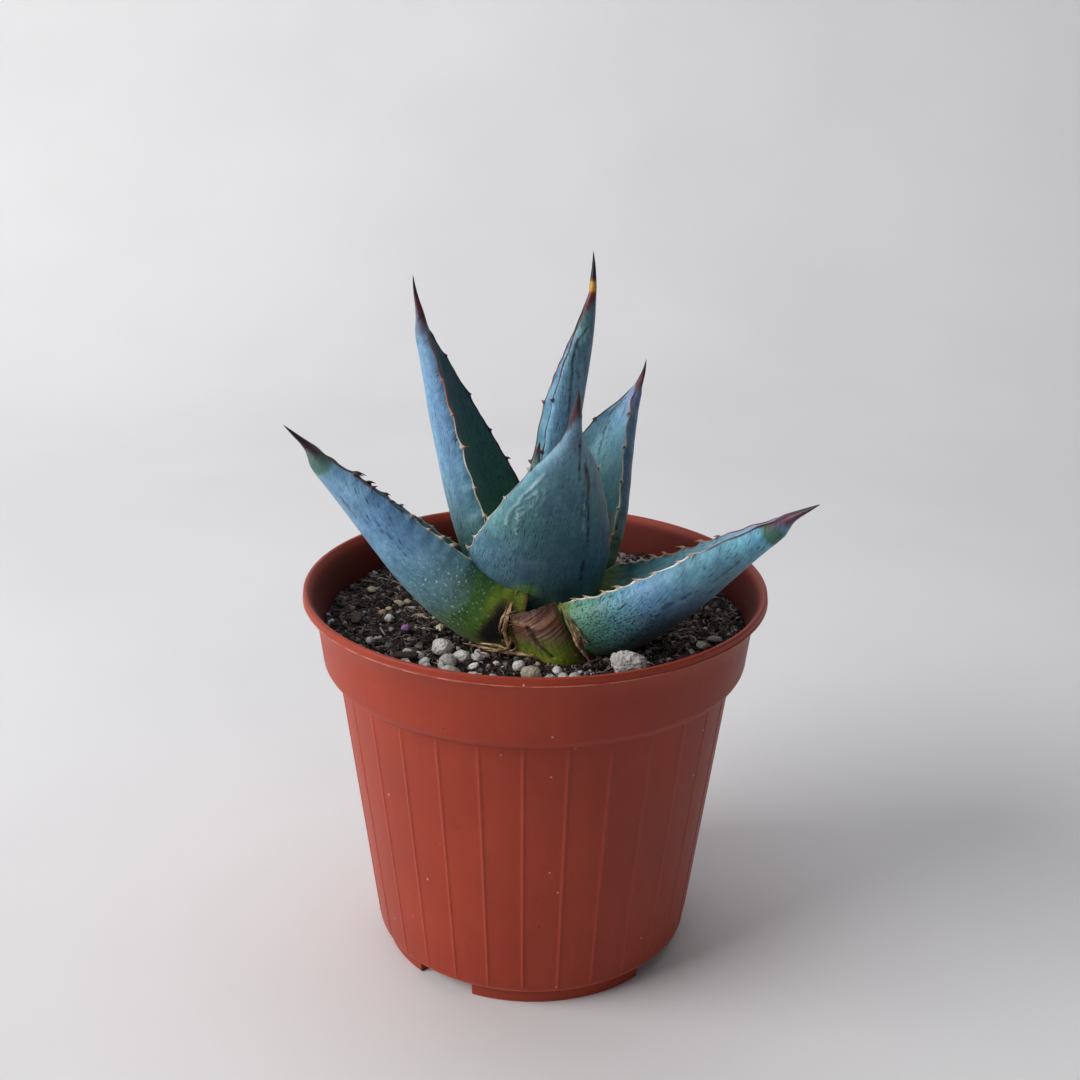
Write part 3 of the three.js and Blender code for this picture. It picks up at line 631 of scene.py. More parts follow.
# ---------------------------------------------------------------- leaves
class Leaf:
    """Channelled leaf: the CAD leaf's path and section, at any fineness."""

    STEPS = 400

    def __init__(self, start, azimuth, length, rise, sweep, roll, width, widest, curl, thick, spine,
                 narrow=0.0):
        self.length, self.width, self.widest, self.thick = length, width, widest, thick
        self.curl, self.spine, self.narrow = curl, spine, narrow
        t = np.linspace(0, 1, self.STEPS + 1)
        up = np.radians(rise[0] * (1 - t) ** 2 + 2 * rise[1] * t * (1 - t) + rise[2] * t ** 2)
        az = np.radians(azimuth + sweep * t)
        along = np.stack([np.cos(up) * np.cos(az), np.cos(up) * np.sin(az), np.sin(up)], -1)
        walk = np.cumsum((along[1:] + along[:-1]) / 2 * length / self.STEPS, 0)
        self.points = np.vstack([[0, 0, 0], walk]) + start + [0, 0, SOIL_LEVEL]
        across = np.stack([-np.sin(az), np.cos(az), 0 * az], -1)
        inward = np.cross(along, across)
        turn = np.radians(lerp(roll[0], roll[1], t / SPINE_START))[:, None]
        self.along = along
        self.across = across * np.cos(turn) + inward * np.sin(turn)
        self.inward = inward * np.cos(turn) - across * np.sin(turn)

    def at(self, values, p):
        """Values kept along the path, at path fraction p."""
        places = np.clip(np.asarray(p), 0, 1) * self.STEPS
        return np.stack([np.interp(places, np.arange(self.STEPS + 1), values[:, k]) for k in range(3)], -1)

    def half_width(self, p):
        t = np.clip(p / SPINE_START, 0, 1)
        base, widest = self.width
        rising = lerp(base, widest, np.sin(np.clip(t / self.widest, 0, 1) * np.pi / 2))
        falling = lerp(widest, self.spine, np.clip((t - self.widest) / (1 - self.widest), 0, 1) ** 1.6)
        blade = np.where(t < self.widest, rising, falling) / 2
        blade = blade * (1 - self.narrow * smooth(0.72, 0.87, p))
        needle = self.spine / 2 * np.clip((1 - p) / (1 - SPINE_START), 0, 1.6) ** 0.85
        late = smooth(0.6, 0.9, p)
        return np.hypot(np.maximum(blade - self.spine / 2 * late, 0), needle * late) + 0.02

    def section(self, p, side, height, edge=0.0, raised=0.0):
        """Points at path fraction p, side from -1 to 1, height from -1 (outer) to 1 (inner)."""
        p, side, height = np.broadcast_arrays(p, side, height)
        t = np.clip(p / SPINE_START, 0, 1)
        curl = np.radians(lerp(self.curl[0], self.curl[1], t))
        half = self.half_width(p)
        bend = half / curl
        reach = (half + edge) * side / bend
        thick = self.thick * (1 - TIP_THINNING * t)
        needle = smooth(0.8, 0.93, p)
        thick = lerp(thick, np.minimum(thick, 2.0 * half), needle)
        share = np.where(height > 0, lerp(INNER_BULGE, 0.5, needle), lerp(1, 0.75, needle))
        lift = share * thick * height
        radius = bend - lift - raised * np.sign(height + 1e-6)
        return (self.at(self.points, p)
                + self.at(self.across, p) * (radius * np.sin(reach))[..., None]
                + self.at(self.inward, p) * (bend - radius * np.cos(reach))[..., None])

    def edge_frame(self, p, sign):
        """Outward and inner-face directions at one margin."""
        t = np.clip(np.asarray(p) / SPINE_START, 0, 1)
        turn = np.radians(lerp(self.curl[0], self.curl[1], t))[..., None]
        out = sign * self.at(self.across, p) * np.cos(turn) + self.at(self.inward, p) * np.sin(turn)
        face = self.at(self.inward, p) * np.cos(turn) - sign * self.at(self.across, p) * np.sin(turn)
        return out, face


def tooth_places(leaf, seed, first, last, spacing):
    """Path fraction and size of each tooth of one margin."""
    stream = np.random.RandomState(seed)
    places = []
    at = first * leaf.length
    while at < last * leaf.length:
        places.append((at / leaf.length, stream.uniform(0.7, 1.25)))
        at += spacing * stream.uniform(0.7, 1.35)
    return places


def tooth_bump(leaf, p, places):
    """How much the margin swells out to its teeth."""
    reach = 1.1
    total = np.zeros_like(p)
    for place, size in places:
        total = total + size * np.exp(-((p - place) * leaf.length / reach) ** 2)
    return total


def segment_distance(x, y, line):
    """Distance of each point to a line of straight parts."""
    best = np.full(np.shape(x), 1e9)
    for (x0, y0), (x1, y1) in zip(line[:-1], line[1:]):
        dx, dy = x1 - x0, y1 - y0
        t = np.clip(((x - x0) * dx + (y - y0) * dy) / (dx * dx + dy * dy + 1e-9), 0, 1)
        best = np.minimum(best, np.hypot(x - x0 - t * dx, y - y0 - t * dy))
    return best


def spot_distance(leaf, t, side, half, spot):
    """How far each place is from a spot of place, side, length and width: 1 at its rim."""
    place, middle, long, wide = spot
    return np.hypot((t - place) * SPINE_START * leaf.length / long, (side - middle) * half / wide)


def make_leaf(name, look):
    """One leaf with its colours, marks, horny margins and teeth, from its row in LEAVES."""
    leaf = Leaf(*look["form"], narrow=look.get("narrow", 0.0))
    rows, around = 300, 128
    seed = look["seed"]
    last = [0.991, 0.996, 0.999, 1.0]
    places = np.concatenate([np.linspace(0, 0.86, 220), np.linspace(0.863, 0.985, 76), last])
    side, height = ring_grid(rows, around)
    p = np.broadcast_to(places[:, None], (rows, around))
    t = np.clip(p / SPINE_START, 0, 1)
    half = leaf.half_width(p)
    mm_along, mm_across = p * leaf.length, side * half
    inner = height > 0

    teeth = {sign: tooth_places(leaf, seed + sign, *look["teeth"]) for sign in (1, -1)}
    rim = np.abs(side) ** 7
    bump = np.where(side > 0, tooth_bump(leaf, p, teeth[1]), tooth_bump(leaf, p, teeth[-1]))
    fade = smooth(0.05, 0.12, p) * fade_out(0.8, 0.88, p)
    scallop = look["scallop"]
    edge = (scallop * bump - 0.12) * rim * fade
    wave = 0.22 * np.sin(mm_along * 0.9 + 2 * side) * rim * fade
    ripple = 0.1 * (fractal(mm_along / 11, mm_across / 3.2 + 5 * inner, seed) - 0.5) * 2
    wrinkle = 0.07 * (value_noise(mm_along / 14, mm_across / 0.8, seed + 3) - 0.5) * 2
    ridge = np.zeros_like(p)

    colour = np.where(inner[..., None], ramp(t, look["inner"]), ramp(t, look["outer"]))
    colour = colour * np.array([1.1, 1.07, 1.1])
    broad = fractal(mm_along / 17, mm_across / 7 + 9 * inner, seed + 11)
    colour = colour * lerp(0.82, 1.2, broad)[..., None]
    for kind, on_face in (("spots_in", inner), ("spots_out", ~inner)):
        for *spot, tone, strength in look.get(kind, ()):
            far = spot_distance(leaf, t, side, half, spot)
            far = far + 0.55 * (fractal(mm_along / 2.4, mm_across / 1.6, seed + 21) - 0.5)
            colour = lerp(colour, tone, (fade_out(0.45, 1.0, far) * strength * on_face)[..., None])
    for kind, on_face in (("lines_in", inner), ("lines_out", ~inner)):
        for stops, wide, tone, strength, raise_by in look.get(kind, ()):
            line = [(a * SPINE_START * leaf.length, b * leaf.half_width(a * SPINE_START)) for a, b in stops]
            shift = 0.9 * (fractal(mm_along / 3.1, mm_across * 0, seed + 31) - 0.5)
            far = segment_distance(mm_along, mm_across + shift, line)
            share = fade_out(0.35 * wide, wide, far) * strength * on_face
            share = share * lerp(0.45, 1, smooth(0.35, 0.55, fractal(mm_along / 2.2, mm_across, seed + 41)))
            colour = lerp(colour, tone, share[..., None])
            ridge = ridge + raise_by * fade_out(0.2 * wide, wide, far) * on_face

    marks = np.zeros((rows, around, 3))
    for k, kind in enumerate(("frost", "specks")):
        if kind in look:
            *spot, strength = look[kind]
            far = spot_distance(leaf, t, side, half, spot)
            far = far + 0.6 * (fractal(mm_along / 3, mm_across / 3, seed + 64) - 0.5)
            marks[..., k] = fade_out(0.3, 1.1, far) * strength * ~inner
    margin_tone = {1: ramp(t, look["margin_plus"]), -1: ramp(t, look["margin_minus"])}
    margin = np.where(side[..., None] > 0, margin_tone[1], margin_tone[-1])
    depth = np.where(inner, INNER_BULGE, 1.0) * leaf.thick * (1 - TIP_THINNING * t) * np.abs(height)
    near_edge = np.hypot((1 - np.abs(side)) * half, depth)
    stain_width = look["stain"] * lerp(0.6, 1.5, value_noise(mm_along / 3, side * 2, seed + 51))
    stained = 0.75 * fade_out(0.25, 1.0, near_edge / stain_width) * fade
    colour = lerp(colour, margin * 0.9, stained[..., None])
    spine_from = look["spine_from"]
    decurrent = smooth(spine_from - 0.035, spine_from + 0.03, p + 0.05 * np.abs(side) ** 3
                       + 0.02 * (value_noise(mm_along, mm_across * 2, seed) - 0.5))
    colour = lerp(colour, ramp(smooth(spine_from, 1.0, p), look["spine_tones"]), decurrent[..., None])

    swell = (ripple + wrinkle) * (1 - np.abs(side) ** 6) * smooth(0, 0.08, p) * fade_out(0.82, 0.9, p)
    points = leaf.section(p, side, height, edge, swell + ridge + wave * np.sign(height + 1e-6))
    # The terminal spine bends a little as it dries
    bend = look["needle_bend"]
    late = np.clip((p - SPINE_START) / (1 - SPINE_START), 0, 1)[..., None] ** 2
    points = points + late * (leaf.across[-1] * bend[0] + leaf.inward[-1] * bend[1])
    grain = np.stack([mm_along, mm_across + 60 * seed, np.where(inner, 37.0, 0.0)], -1)
    horn = smooth(spine_from - 0.01, spine_from + 0.03, p + 0.03 * np.abs(side) ** 3)
    shells = Shells()
    shells.tube(points, colour, grain, horn, marks)

    stream = np.random.RandomState(seed + 5)
    for sign in (1, -1):
        q = np.linspace(look["teeth"][0] - 0.05, 0.885, 240)
        out, face = leaf.edge_frame(q, sign)
        rise = tooth_bump(leaf, q, teeth[sign])
        fade_q = smooth(0.05, 0.12, q) * fade_out(0.8, 0.88, q)
        line = leaf.section(q, sign, 0, (scallop * rise - 0.12) * fade_q)
        jitter = 0.22 * (value_noise(q * leaf.length / 1.6, q * 0, seed + sign) - 0.5)
        sway = 0.16 * np.sin(q[:, None] * leaf.length * 0.9 + 2 * sign)
        line = line + out * (0.05 + jitter[:, None]) + face * sway
        lumps = value_noise(q * leaf.length / 2.3, q * 0 + 3, seed)
        thick = look["bead"] * lerp(0.6, 1.25, lumps) * (0.8 + 0.3 * rise)
        thick = thick * np.minimum(1, np.minimum((q - q[0]) * 22, (q[-1] - q) * 12) + 0.06)
        rings = sweep(line, thick, 8)
        margin = look["margin_plus" if sign > 0 else "margin_minus"]
        tone = ramp(np.clip(q / SPINE_START, 0, 1), margin)
        tone = tone * lerp(0.85, 1.3, value_noise(q * leaf.length / 1.9, q * 0, seed + 7))[:, None]
        tone = np.repeat(tone[:, None], 8, 1)
        long = np.repeat(np.stack([q * leaf.length, q * 0, q * 0], -1)[:, None], 8, 1)
        shells.tube(rings, tone, long + rings * 0.2, np.full(rings.shape[:2], 0.7))
        for place, size in teeth[sign]:
            if not 0.06 < place < 0.84:
                continue
            at = np.array([place])
            out, face = leaf.edge_frame(at, sign)
            ahead = leaf.at(leaf.along, at)
            base = leaf.section(at, sign, 0, 0.35 * size)
            long = look["tooth"] * size * stream.uniform(0.75, 1.2) * lerp(1.1, 0.7, place)
            hook = look["hook"] * stream.uniform(0.3, 1.5)
            lean = stream.uniform(-0.25, 0.5)
            k = np.linspace(0, 1, 9)[:, None]
            bent = out * (k * (1 - 0.25 * k)) + ahead * hook * k ** 2 + face * lean * k ** 2
            centres = base - out * 0.3 + long * bent
            radii = (TOOTH_BASE * (1 - k[:, 0]) ** 1.35 + 0.03) * (0.6 + 0.4 * size)
            rings = sweep(centres, radii, 8, ahead[0], 1.35)
            root_tone = ramp(np.clip(at / SPINE_START, 0, 1), margin)[0]
            tones = lerp(root_tone, look["tooth_tone"], np.clip(k * 1.6, 0, 1))
            shells.tube(rings, np.repeat(tones[:, None], 8, 1), None, np.full(rings.shape[:2], 0.9))
    return shells.build(name, LEAF, look["replaces"])


# Colours shared by the leaves
CREAM, TAN, BROWN = rgb(226, 214, 196), rgb(186, 150, 116), rgb(104, 68, 50)
DARK, MAROON, PINK = rgb(34, 22, 24), rgb(78, 34, 42), rgb(184, 108, 96)
LIME, GREEN, BLUE, TEAL = rgb(150, 160, 60), rgb(74, 104, 60), rgb(110, 152, 184), rgb(86, 132, 134)
DEEP_TEAL, INK, FILM = rgb(58, 100, 102), rgb(16, 24, 30), rgb(176, 206, 212)

# One row a leaf. Millimetres and degrees. Places run from 0 (foot) to 1, sides from -1 to 1.
# form: foot, azimuth, length, rise, sweep, roll, widths, widest place, curl, thickness, spine width
# outer, inner, margin_plus, margin_minus, spine_tones: colours along the leaf
# teeth: first and last place, spacing
# spots: place, side, length, width, colour, strength. frost and specks have no colour.
# lines: stops of place and side, width, colour, strength, height raised
LEAVES = {
    "agave_leaf_left": {
        "replaces": ["leaf_left"], "seed": 11,
        "form": ([-5, -7, 5.6], 186, 66, [18, 71, 34], -1, [10, 15], [23, 22.5], 0.32, [90, 35], 11, 1.3),
        "outer": [(0, rgb(126, 124, 40)), (0.06, rgb(118, 140, 44)), (0.14, rgb(94, 128, 44)),
                  (0.21, rgb(78, 112, 56)),
                  (0.29, rgb(88, 128, 124)), (0.36, rgb(100, 142, 156)), (0.48, rgb(106, 148, 174)),
                  (0.66, BLUE), (0.86, rgb(116, 156, 186)), (0.93, rgb(104, 142, 150))],
        "inner": [(0, LIME), (0.15, GREEN), (0.4, TEAL), (0.8, rgb(92, 136, 158))],
        "margin_plus": [(0, BROWN), (0.1, TAN), (0.2, CREAM), (0.5, CREAM), (0.62, rgb(92, 72, 72)),
                        (0.9, MAROON)],
        "margin_minus": [(0, TAN), (0.3, CREAM), (0.42, CREAM), (0.6, rgb(84, 66, 66)), (0.9, MAROON)],
        "tooth_tone": rgb(58, 40, 40), "tooth": 1.8, "hook": -0.8, "teeth": (0.12, 0.76, 4.3), "bead": 0.17,
        "stain": 0.32, "scallop": 0.25, "frost": (0.3, 0.45, 12, 9, 0.9),
        "spots_out": [
            (0.2, 0.8, 7.0, 4.6, rgb(62, 104, 42), 0.7), (0.09, 0.9, 6.0, 4.4, rgb(134, 154, 46), 0.85),
            (0.078, 0.58, 4.2, 4.4, rgb(84, 62, 22), 0.75), (0.0, 0.72, 1.3, 8.5, rgb(116, 76, 44), 0.8),
            (0.074, 0.57, 3.6, 3.5, rgb(12, 6, 10), 1.0), (0.94, 0.66, 3.6, 2.8, rgb(64, 98, 84), 0.85),
            (0.29, 0.62, 5.6, 4.0, rgb(132, 164, 176), 0.3), (0.62, 0.8, 10, 3.2, rgb(92, 132, 180), 0.5),
        ],
        "lines_out": [
            ([(0.80, 0.42), (0.7, 0.36)], 0.22, INK, 0.8, -0.04),
            ([(0.75, 0.56), (0.66, 0.5)], 0.2, INK, 0.7, -0.04),
            ([(0.68, 0.7), (0.57, 0.66)], 0.2, INK, 0.6, -0.03),
            ([(0.56, 0.45), (0.47, 0.42)], 0.2, INK, 0.6, -0.03),
        ],
        "spine_tones": [(0, rgb(52, 30, 34)), (0.4, DARK), (1, rgb(20, 14, 16))], "spine_from": 0.885,
        "needle_bend": (0.0, 0.5),
    },
    "agave_leaf_back_left": {
        "replaces": ["leaf_back_left"], "seed": 23,
        "form": ([-4, 3.6, 7.5], 149, 74, [55, 78, 70], 10, [-2, 17], [17, 25], 0.24, [69, 30], 8.4, 1.15),
        "outer": [(0, LIME), (0.12, rgb(112, 152, 112)), (0.3, rgb(122, 166, 178)), (0.5, rgb(120, 166, 198)),
                  (0.72, rgb(116, 162, 196)), (0.9, rgb(110, 146, 172))],
        "inner": [(0, rgb(96, 138, 84)), (0.3, rgb(58, 106, 84)), (0.55, rgb(50, 96, 94)),
                  (0.8, rgb(48, 88, 96)), (0.92, rgb(52, 76, 88))],
        "margin_plus": [(0, CREAM), (0.5, CREAM), (0.7, PINK), (0.82, rgb(122, 64, 74)), (0.9, MAROON)],
        "margin_minus": [(0, TAN), (0.3, BROWN), (0.6, rgb(60, 40, 40)), (0.9, MAROON)],
        "tooth_tone": rgb(120, 58, 52), "tooth": 1.7, "hook": -0.2, "teeth": (0.12, 0.76, 8.2), "bead": 0.19,
        "stain": 0.35, "scallop": 0.3, "narrow": 0.42,
        "spots_out": [(0.6, 0.86, 22, 1.6, rgb(90, 128, 172), 0.55),
                      (0.95, 0.95, 3, 0.8, rgb(110, 70, 90), 0.5)],
        "spots_in": [(0.92, -0.6, 4, 1.2, rgb(64, 42, 56), 0.6), (0.45, -0.4, 14, 6, rgb(44, 98, 82), 0.5)],
        "lines_out": [([(0.6, 0.5), (0.54, 0.5)], 0.2, INK, 0.7, -0.03),
                      ([(0.42, 0.7), (0.36, 0.68)], 0.2, INK, 0.6, -0.03)],
        "spine_tones": [(0, rgb(92, 44, 56)), (0.3, rgb(62, 32, 40)), (0.6, DARK), (1, rgb(24, 16, 20))],
        "spine_from": 0.9, "needle_bend": (0.3, 0.9),
    },
    "agave_leaf_tall": {
        "replaces": ["leaf_tall"], "seed": 37,
        "form": ([4.3, 0.5, 8], 0, 77, [99, 65, 90], -3, [13, -3], [15, 20.5], 0.54, [56, 70], 4.6, 1.3),
        "outer": [(0, LIME), (0.2, TEAL), (0.45, rgb(112, 154, 172)), (0.62, rgb(118, 162, 190)),
                  (0.78, rgb(106, 148, 166)), (0.9, rgb(92, 132, 136))],
        "inner": [(0, LIME), (0.2, TEAL), (0.5, rgb(118, 164, 186)), (0.8, rgb(122, 164, 190)),
                  (0.9, rgb(110, 130, 150))],
        "margin_plus": [(0, TAN), (0.5, rgb(120, 96, 92)), (0.75, rgb(140, 82, 78)), (0.9, MAROON)],
        "margin_minus": [(0, TAN), (0.4, rgb(92, 70, 66)), (0.62, rgb(56, 44, 50)), (0.8, rgb(110, 62, 60)),
                         (0.9, MAROON)],
        "tooth_tone": rgb(66, 36, 36), "tooth": 1.2, "hook": 0.3, "teeth": (0.15, 0.62, 12.0), "bead": 0.13,
        "stain": 0.4, "scallop": 0.15,
        "lines_out": [
            ([(0.885, -0.62), (0.84, -0.8), (0.78, -0.82), (0.7, -0.72), (0.62, -0.66), (0.55, -0.62)],
             0.34, rgb(28, 46, 52), 0.9, -0.05),
            ([(0.76, -0.66), (0.71, -0.52), (0.66, -0.5), (0.6, -0.55)], 0.28, rgb(34, 54, 62), 0.8, -0.04),
            ([(0.8, -0.45), (0.72, -0.3)], 0.25, rgb(40, 60, 70), 0.6, -0.03),
        ],
        "spots_out": [(0.7, -0.15, 20, 3, rgb(64, 100, 136), 0.6),
                      (0.86, -0.7, 2.2, 1.3, rgb(160, 196, 206), 0.6)],
        "spine_tones": [(0, rgb(84, 38, 44)), (0.1, rgb(120, 50, 36)), (0.16, rgb(196, 140, 56)),
                        (0.34, rgb(208, 158, 64)),
                        (0.41, rgb(120, 56, 34)), (0.48, DARK), (1, rgb(22, 14, 16))],
        "spine_from": 0.86, "needle_bend": (0.0, 0.2),
    },
    "agave_leaf_back_right": {
        "replaces": ["leaf_back_right"], "seed": 41,
        "form": ([7, 3.3, 6.6], 59, 57.5, [55, 72, 38], -10, [10, -21], [16.5, 22.5], 0.4, [46, 50], 7.2,
                 1.3),
        "outer": [(0, LIME), (0.12, GREEN), (0.25, rgb(86, 110, 96)), (0.45, rgb(82, 116, 132)),
                  (0.7, rgb(86, 120, 148)), (0.9, rgb(92, 112, 148))],
        "inner": [(0, rgb(120, 128, 66)), (0.2, rgb(112, 132, 96)), (0.4, rgb(104, 158, 160)),
                  (0.6, rgb(118, 170, 178)), (0.8, rgb(118, 164, 190)), (0.92, rgb(124, 142, 176))],
        "margin_plus": [(0, TAN), (0.5, rgb(96, 70, 66)), (0.9, MAROON)],
        "margin_minus": [(0, TAN), (0.25, rgb(170, 120, 70)), (0.4, CREAM), (0.75, rgb(206, 180, 166)),
                         (0.9, rgb(128, 70, 66))],
        "tooth_tone": rgb(66, 44, 42), "tooth": 1.1, "hook": -0.4, "teeth": (0.15, 0.75, 7.0), "bead": 0.18,
        "stain": 0.35, "scallop": 0.25, "narrow": 0.3,
        "lines_in": [
            ([(0.87, 0.8), (0.8, 0.6), (0.74, 0.42), (0.68, 0.32), (0.62, 0.26)], 0.36, rgb(40, 62, 62), 0.9,
             -0.05),
            ([(0.84, 0.52), (0.76, 0.3), (0.7, 0.2)], 0.26, rgb(58, 84, 88), 0.6, -0.03),
            ([(0.9, -0.2), (0.84, -0.3)], 0.4, rgb(206, 190, 200), 0.7, 0.05),
        ],
        "spots_in": [(0.72, 0.75, 12, 2.6, rgb(82, 122, 136), 0.7),
                     (0.3, -0.7, 5, 2, rgb(160, 104, 52), 0.7)],
        "spine_tones": [(0, rgb(112, 66, 70)), (0.3, rgb(64, 34, 38)), (0.6, DARK), (1, rgb(24, 16, 18))],
        "spine_from": 0.9, "needle_bend": (0.0, 1.5),
    },
    "agave_leaf_front": {
        "replaces": ["leaf_front"], "seed": 53,
        "form": ([-0.5, -5.2, 2.2], -73, 66, [68, 57, 72], 3, [-10, 20], [21, 34], 0.27, [40, 22], 7, 2.2),
        "outer": [(0, rgb(150, 170, 92)), (0.14, rgb(82, 122, 112)), (0.24, rgb(78, 114, 128)),
                  (0.4, rgb(98, 138, 158)),
                  (0.55, rgb(92, 138, 142)), (0.7, rgb(98, 146, 156)), (0.86, rgb(112, 152, 172)),
                  (0.92, rgb(100, 130, 150))],
        "inner": [(0, LIME), (0.2, TEAL), (0.9, rgb(92, 136, 150))],
        "margin_plus": [(0, TAN), (0.5, rgb(92, 90, 92)), (0.9, MAROON)],
        "margin_minus": [(0, rgb(160, 130, 90)), (0.25, TAN), (0.4, CREAM), (0.62, rgb(200, 196, 188)),
                         (0.75, rgb(112, 132, 140)), (0.9, MAROON)],
        "tooth_tone": rgb(206, 184, 166), "tooth": 1.7, "hook": 0.35, "teeth": (0.3, 0.72, 6.4), "bead": 0.14,
        "stain": 0.22, "scallop": 0.25, "narrow": 0.36,
        "lines_out": [
            ([(0.56, -0.8), (0.6, -0.86), (0.65, -0.82), (0.7, -0.86), (0.75, -0.8), (0.8, -0.7)], 0.42, FILM,
             0.9, 0.2),
            ([(0.6, -0.72), (0.64, -0.62), (0.7, -0.6), (0.73, -0.68), (0.69, -0.76)], 0.36, FILM, 0.8, 0.18),
            ([(0.66, -0.7), (0.63, -0.76), (0.6, -0.68), (0.56, -0.66), (0.53, -0.6)], 0.32, FILM, 0.7, 0.15),
            ([(0.74, -0.56), (0.7, -0.48), (0.66, -0.5), (0.62, -0.44)], 0.3, FILM, 0.6, 0.14),
            ([(0.64, 0.34), (0.6, 0.37), (0.56, 0.33), (0.5, 0.35)], 0.34, FILM, 0.7, 0.12),
            ([(0.8, 0.43), (0.76, 0.42), (0.7, 0.42), (0.67, 0.4)], 0.8, rgb(104, 76, 60), 1.0, 0.14),
            ([(0.815, 0.43), (0.73, 0.43), (0.6, 0.42), (0.45, 0.41), (0.28, 0.4)], 0.46, rgb(14, 20, 24),
             1.0, -0.14),
            ([(0.93, 0.28), (0.88, 0.24), (0.8, 0.22), (0.76, 0.2)], 0.42, rgb(16, 22, 26), 1.0, -0.08),
            ([(0.74, 0.3), (0.66, 0.29), (0.56, 0.3)], 0.26, rgb(40, 54, 62), 0.7, -0.05),
            ([(0.86, 0.52), (0.78, 0.5)], 0.22, rgb(40, 54, 62), 0.6, -0.04),
            ([(0.8, -0.2), (0.74, -0.22)], 0.22, rgb(36, 54, 62), 0.6, -0.04),
        ],
        "spots_out": [(0.45, 0.1, 5, 10, rgb(78, 116, 120), 0.35), (0.66, 0.1, 5, 9, rgb(84, 118, 146), 0.4),
                      (0.25, -0.26, 3.4, 3.6, rgb(128, 166, 96), 0.8),
                      (0.5, 0.85, 26, 3.6, rgb(70, 96, 118), 0.6)],
        "spine_tones": [(0, rgb(66, 30, 44)), (0.25, rgb(54, 24, 34)), (0.6, rgb(36, 20, 26)),
                        (1, rgb(22, 14, 18))],
        "spine_from": 0.915, "needle_bend": (0.0, 0.2),
    },
    "agave_leaf_right": {
        "replaces": ["leaf_right"], "seed": 67,
        "form": ([9, -7.5, 5], -33, 66, [9, 65, 24], 6, [6, -4], [17.5, 26.5], 0.15, [73, 38], 11, 1.5),
        "outer": [(0, rgb(150, 160, 60)), (0.1, rgb(118, 150, 76)), (0.18, rgb(92, 142, 122)),
                  (0.32, rgb(92, 144, 154)),
                  (0.45, rgb(108, 152, 188)), (0.62, rgb(92, 142, 158)), (0.8, rgb(100, 158, 176)),
                  (0.9, rgb(104, 164, 190))],
        "inner": [(0, LIME), (0.2, DEEP_TEAL), (0.5, rgb(96, 146, 158)), (0.75, rgb(140, 174, 194)),
                  (0.92, rgb(120, 120, 140))],
        "margin_plus": [(0, TAN), (0.2, CREAM), (0.4, rgb(160, 112, 88)), (0.6, rgb(150, 130, 130)),
                        (0.9, MAROON)],
        "margin_minus": [(0, TAN), (0.12, CREAM), (0.62, rgb(236, 228, 216)), (0.72, rgb(130, 112, 116)),
                         (0.9, MAROON)],
        "tooth_tone": rgb(176, 136, 112), "tooth": 1.7, "hook": -0.9, "teeth": (0.14, 0.6, 4.4), "bead": 0.23,
        "stain": 0.3, "scallop": 0.35,
        "spots_out": [
            (0.22, -0.84, 5.0, 3.2, rgb(92, 146, 120), 0.5), (0.52, -0.1, 26, 7.5, rgb(78, 104, 128), 0.6),
            (0.25, 0.1, 14, 8, rgb(88, 110, 120), 0.6), (0.93, -0.6, 2.6, 3.4, rgb(48, 92, 62), 0.9),
            (0.08, -0.5, 3, 5, rgb(140, 150, 56), 0.7), (0.12, 0.2, 5, 5, rgb(112, 136, 84), 0.6),
        ],
        "lines_out": [
            ([(0.78, -0.5), (0.66, -0.5)], 0.22, INK, 0.7, -0.04),
            ([(0.7, -0.3), (0.6, -0.34)], 0.22, INK, 0.7, -0.04),
            ([(0.6, -0.55), (0.54, -0.58)], 0.26, INK, 0.8, -0.04),
            ([(0.52, -0.62), (0.43, -0.6)], 0.24, INK, 0.7, -0.04),
            ([(0.5, -0.35), (0.36, -0.36)], 0.22, INK, 0.6, -0.04),
            ([(0.34, -0.45), (0.24, -0.4)], 0.22, INK, 0.6, -0.03),
        ],
        "specks": (0.27, -0.7, 16.0, 8.5, 0.95),
        "spine_tones": [(0, rgb(84, 44, 66)), (0.4, rgb(60, 30, 44)), (0.7, rgb(42, 26, 32)),
                        (1, rgb(26, 18, 22))],
        "spine_from": 0.885, "needle_bend": (0.0, 0.4),
    },
}


# ---------------------------------------------------------------- small forms
def ball(rings, sides):
    """Unit sphere rings from pole to pole, without the poles."""
    polar = np.linspace(0, np.pi, rings + 2)[1:-1, None]
    turn = 2 * np.pi * np.arange(sides)[None, :] / sides
    x, y = np.sin(polar) * np.cos(turn), np.sin(polar) * np.sin(turn)
    return np.stack([x, y, np.cos(polar) * np.ones_like(turn)], -1)


def node_box(node):
    """Corners of a CAD node's box, in millimetres from the pot's axis."""
    low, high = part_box(node)
    return np.array(low) / MM - AXIS, np.array(high) / MM - AXIS


def fill_box(form, low, high):
    """A form stretched and moved to fill a box."""
    flat = form.reshape(-1, 3)
    least, most = flat.min(0), flat.max(0)
    return (form - (most + least) / 2) / ((most - least) / 2) * ((high - low) / 2) + (low + high) / 2


def turbulence(points, scale, seed):
    """Cheap solid noise from three planes."""
    x, y, z = np.moveaxis(points * scale, -1, 0)
    return (fractal(x, y, seed) + fractal(y, z, seed + 1) + fractal(z, x, seed + 2)) / 3 - 0.5


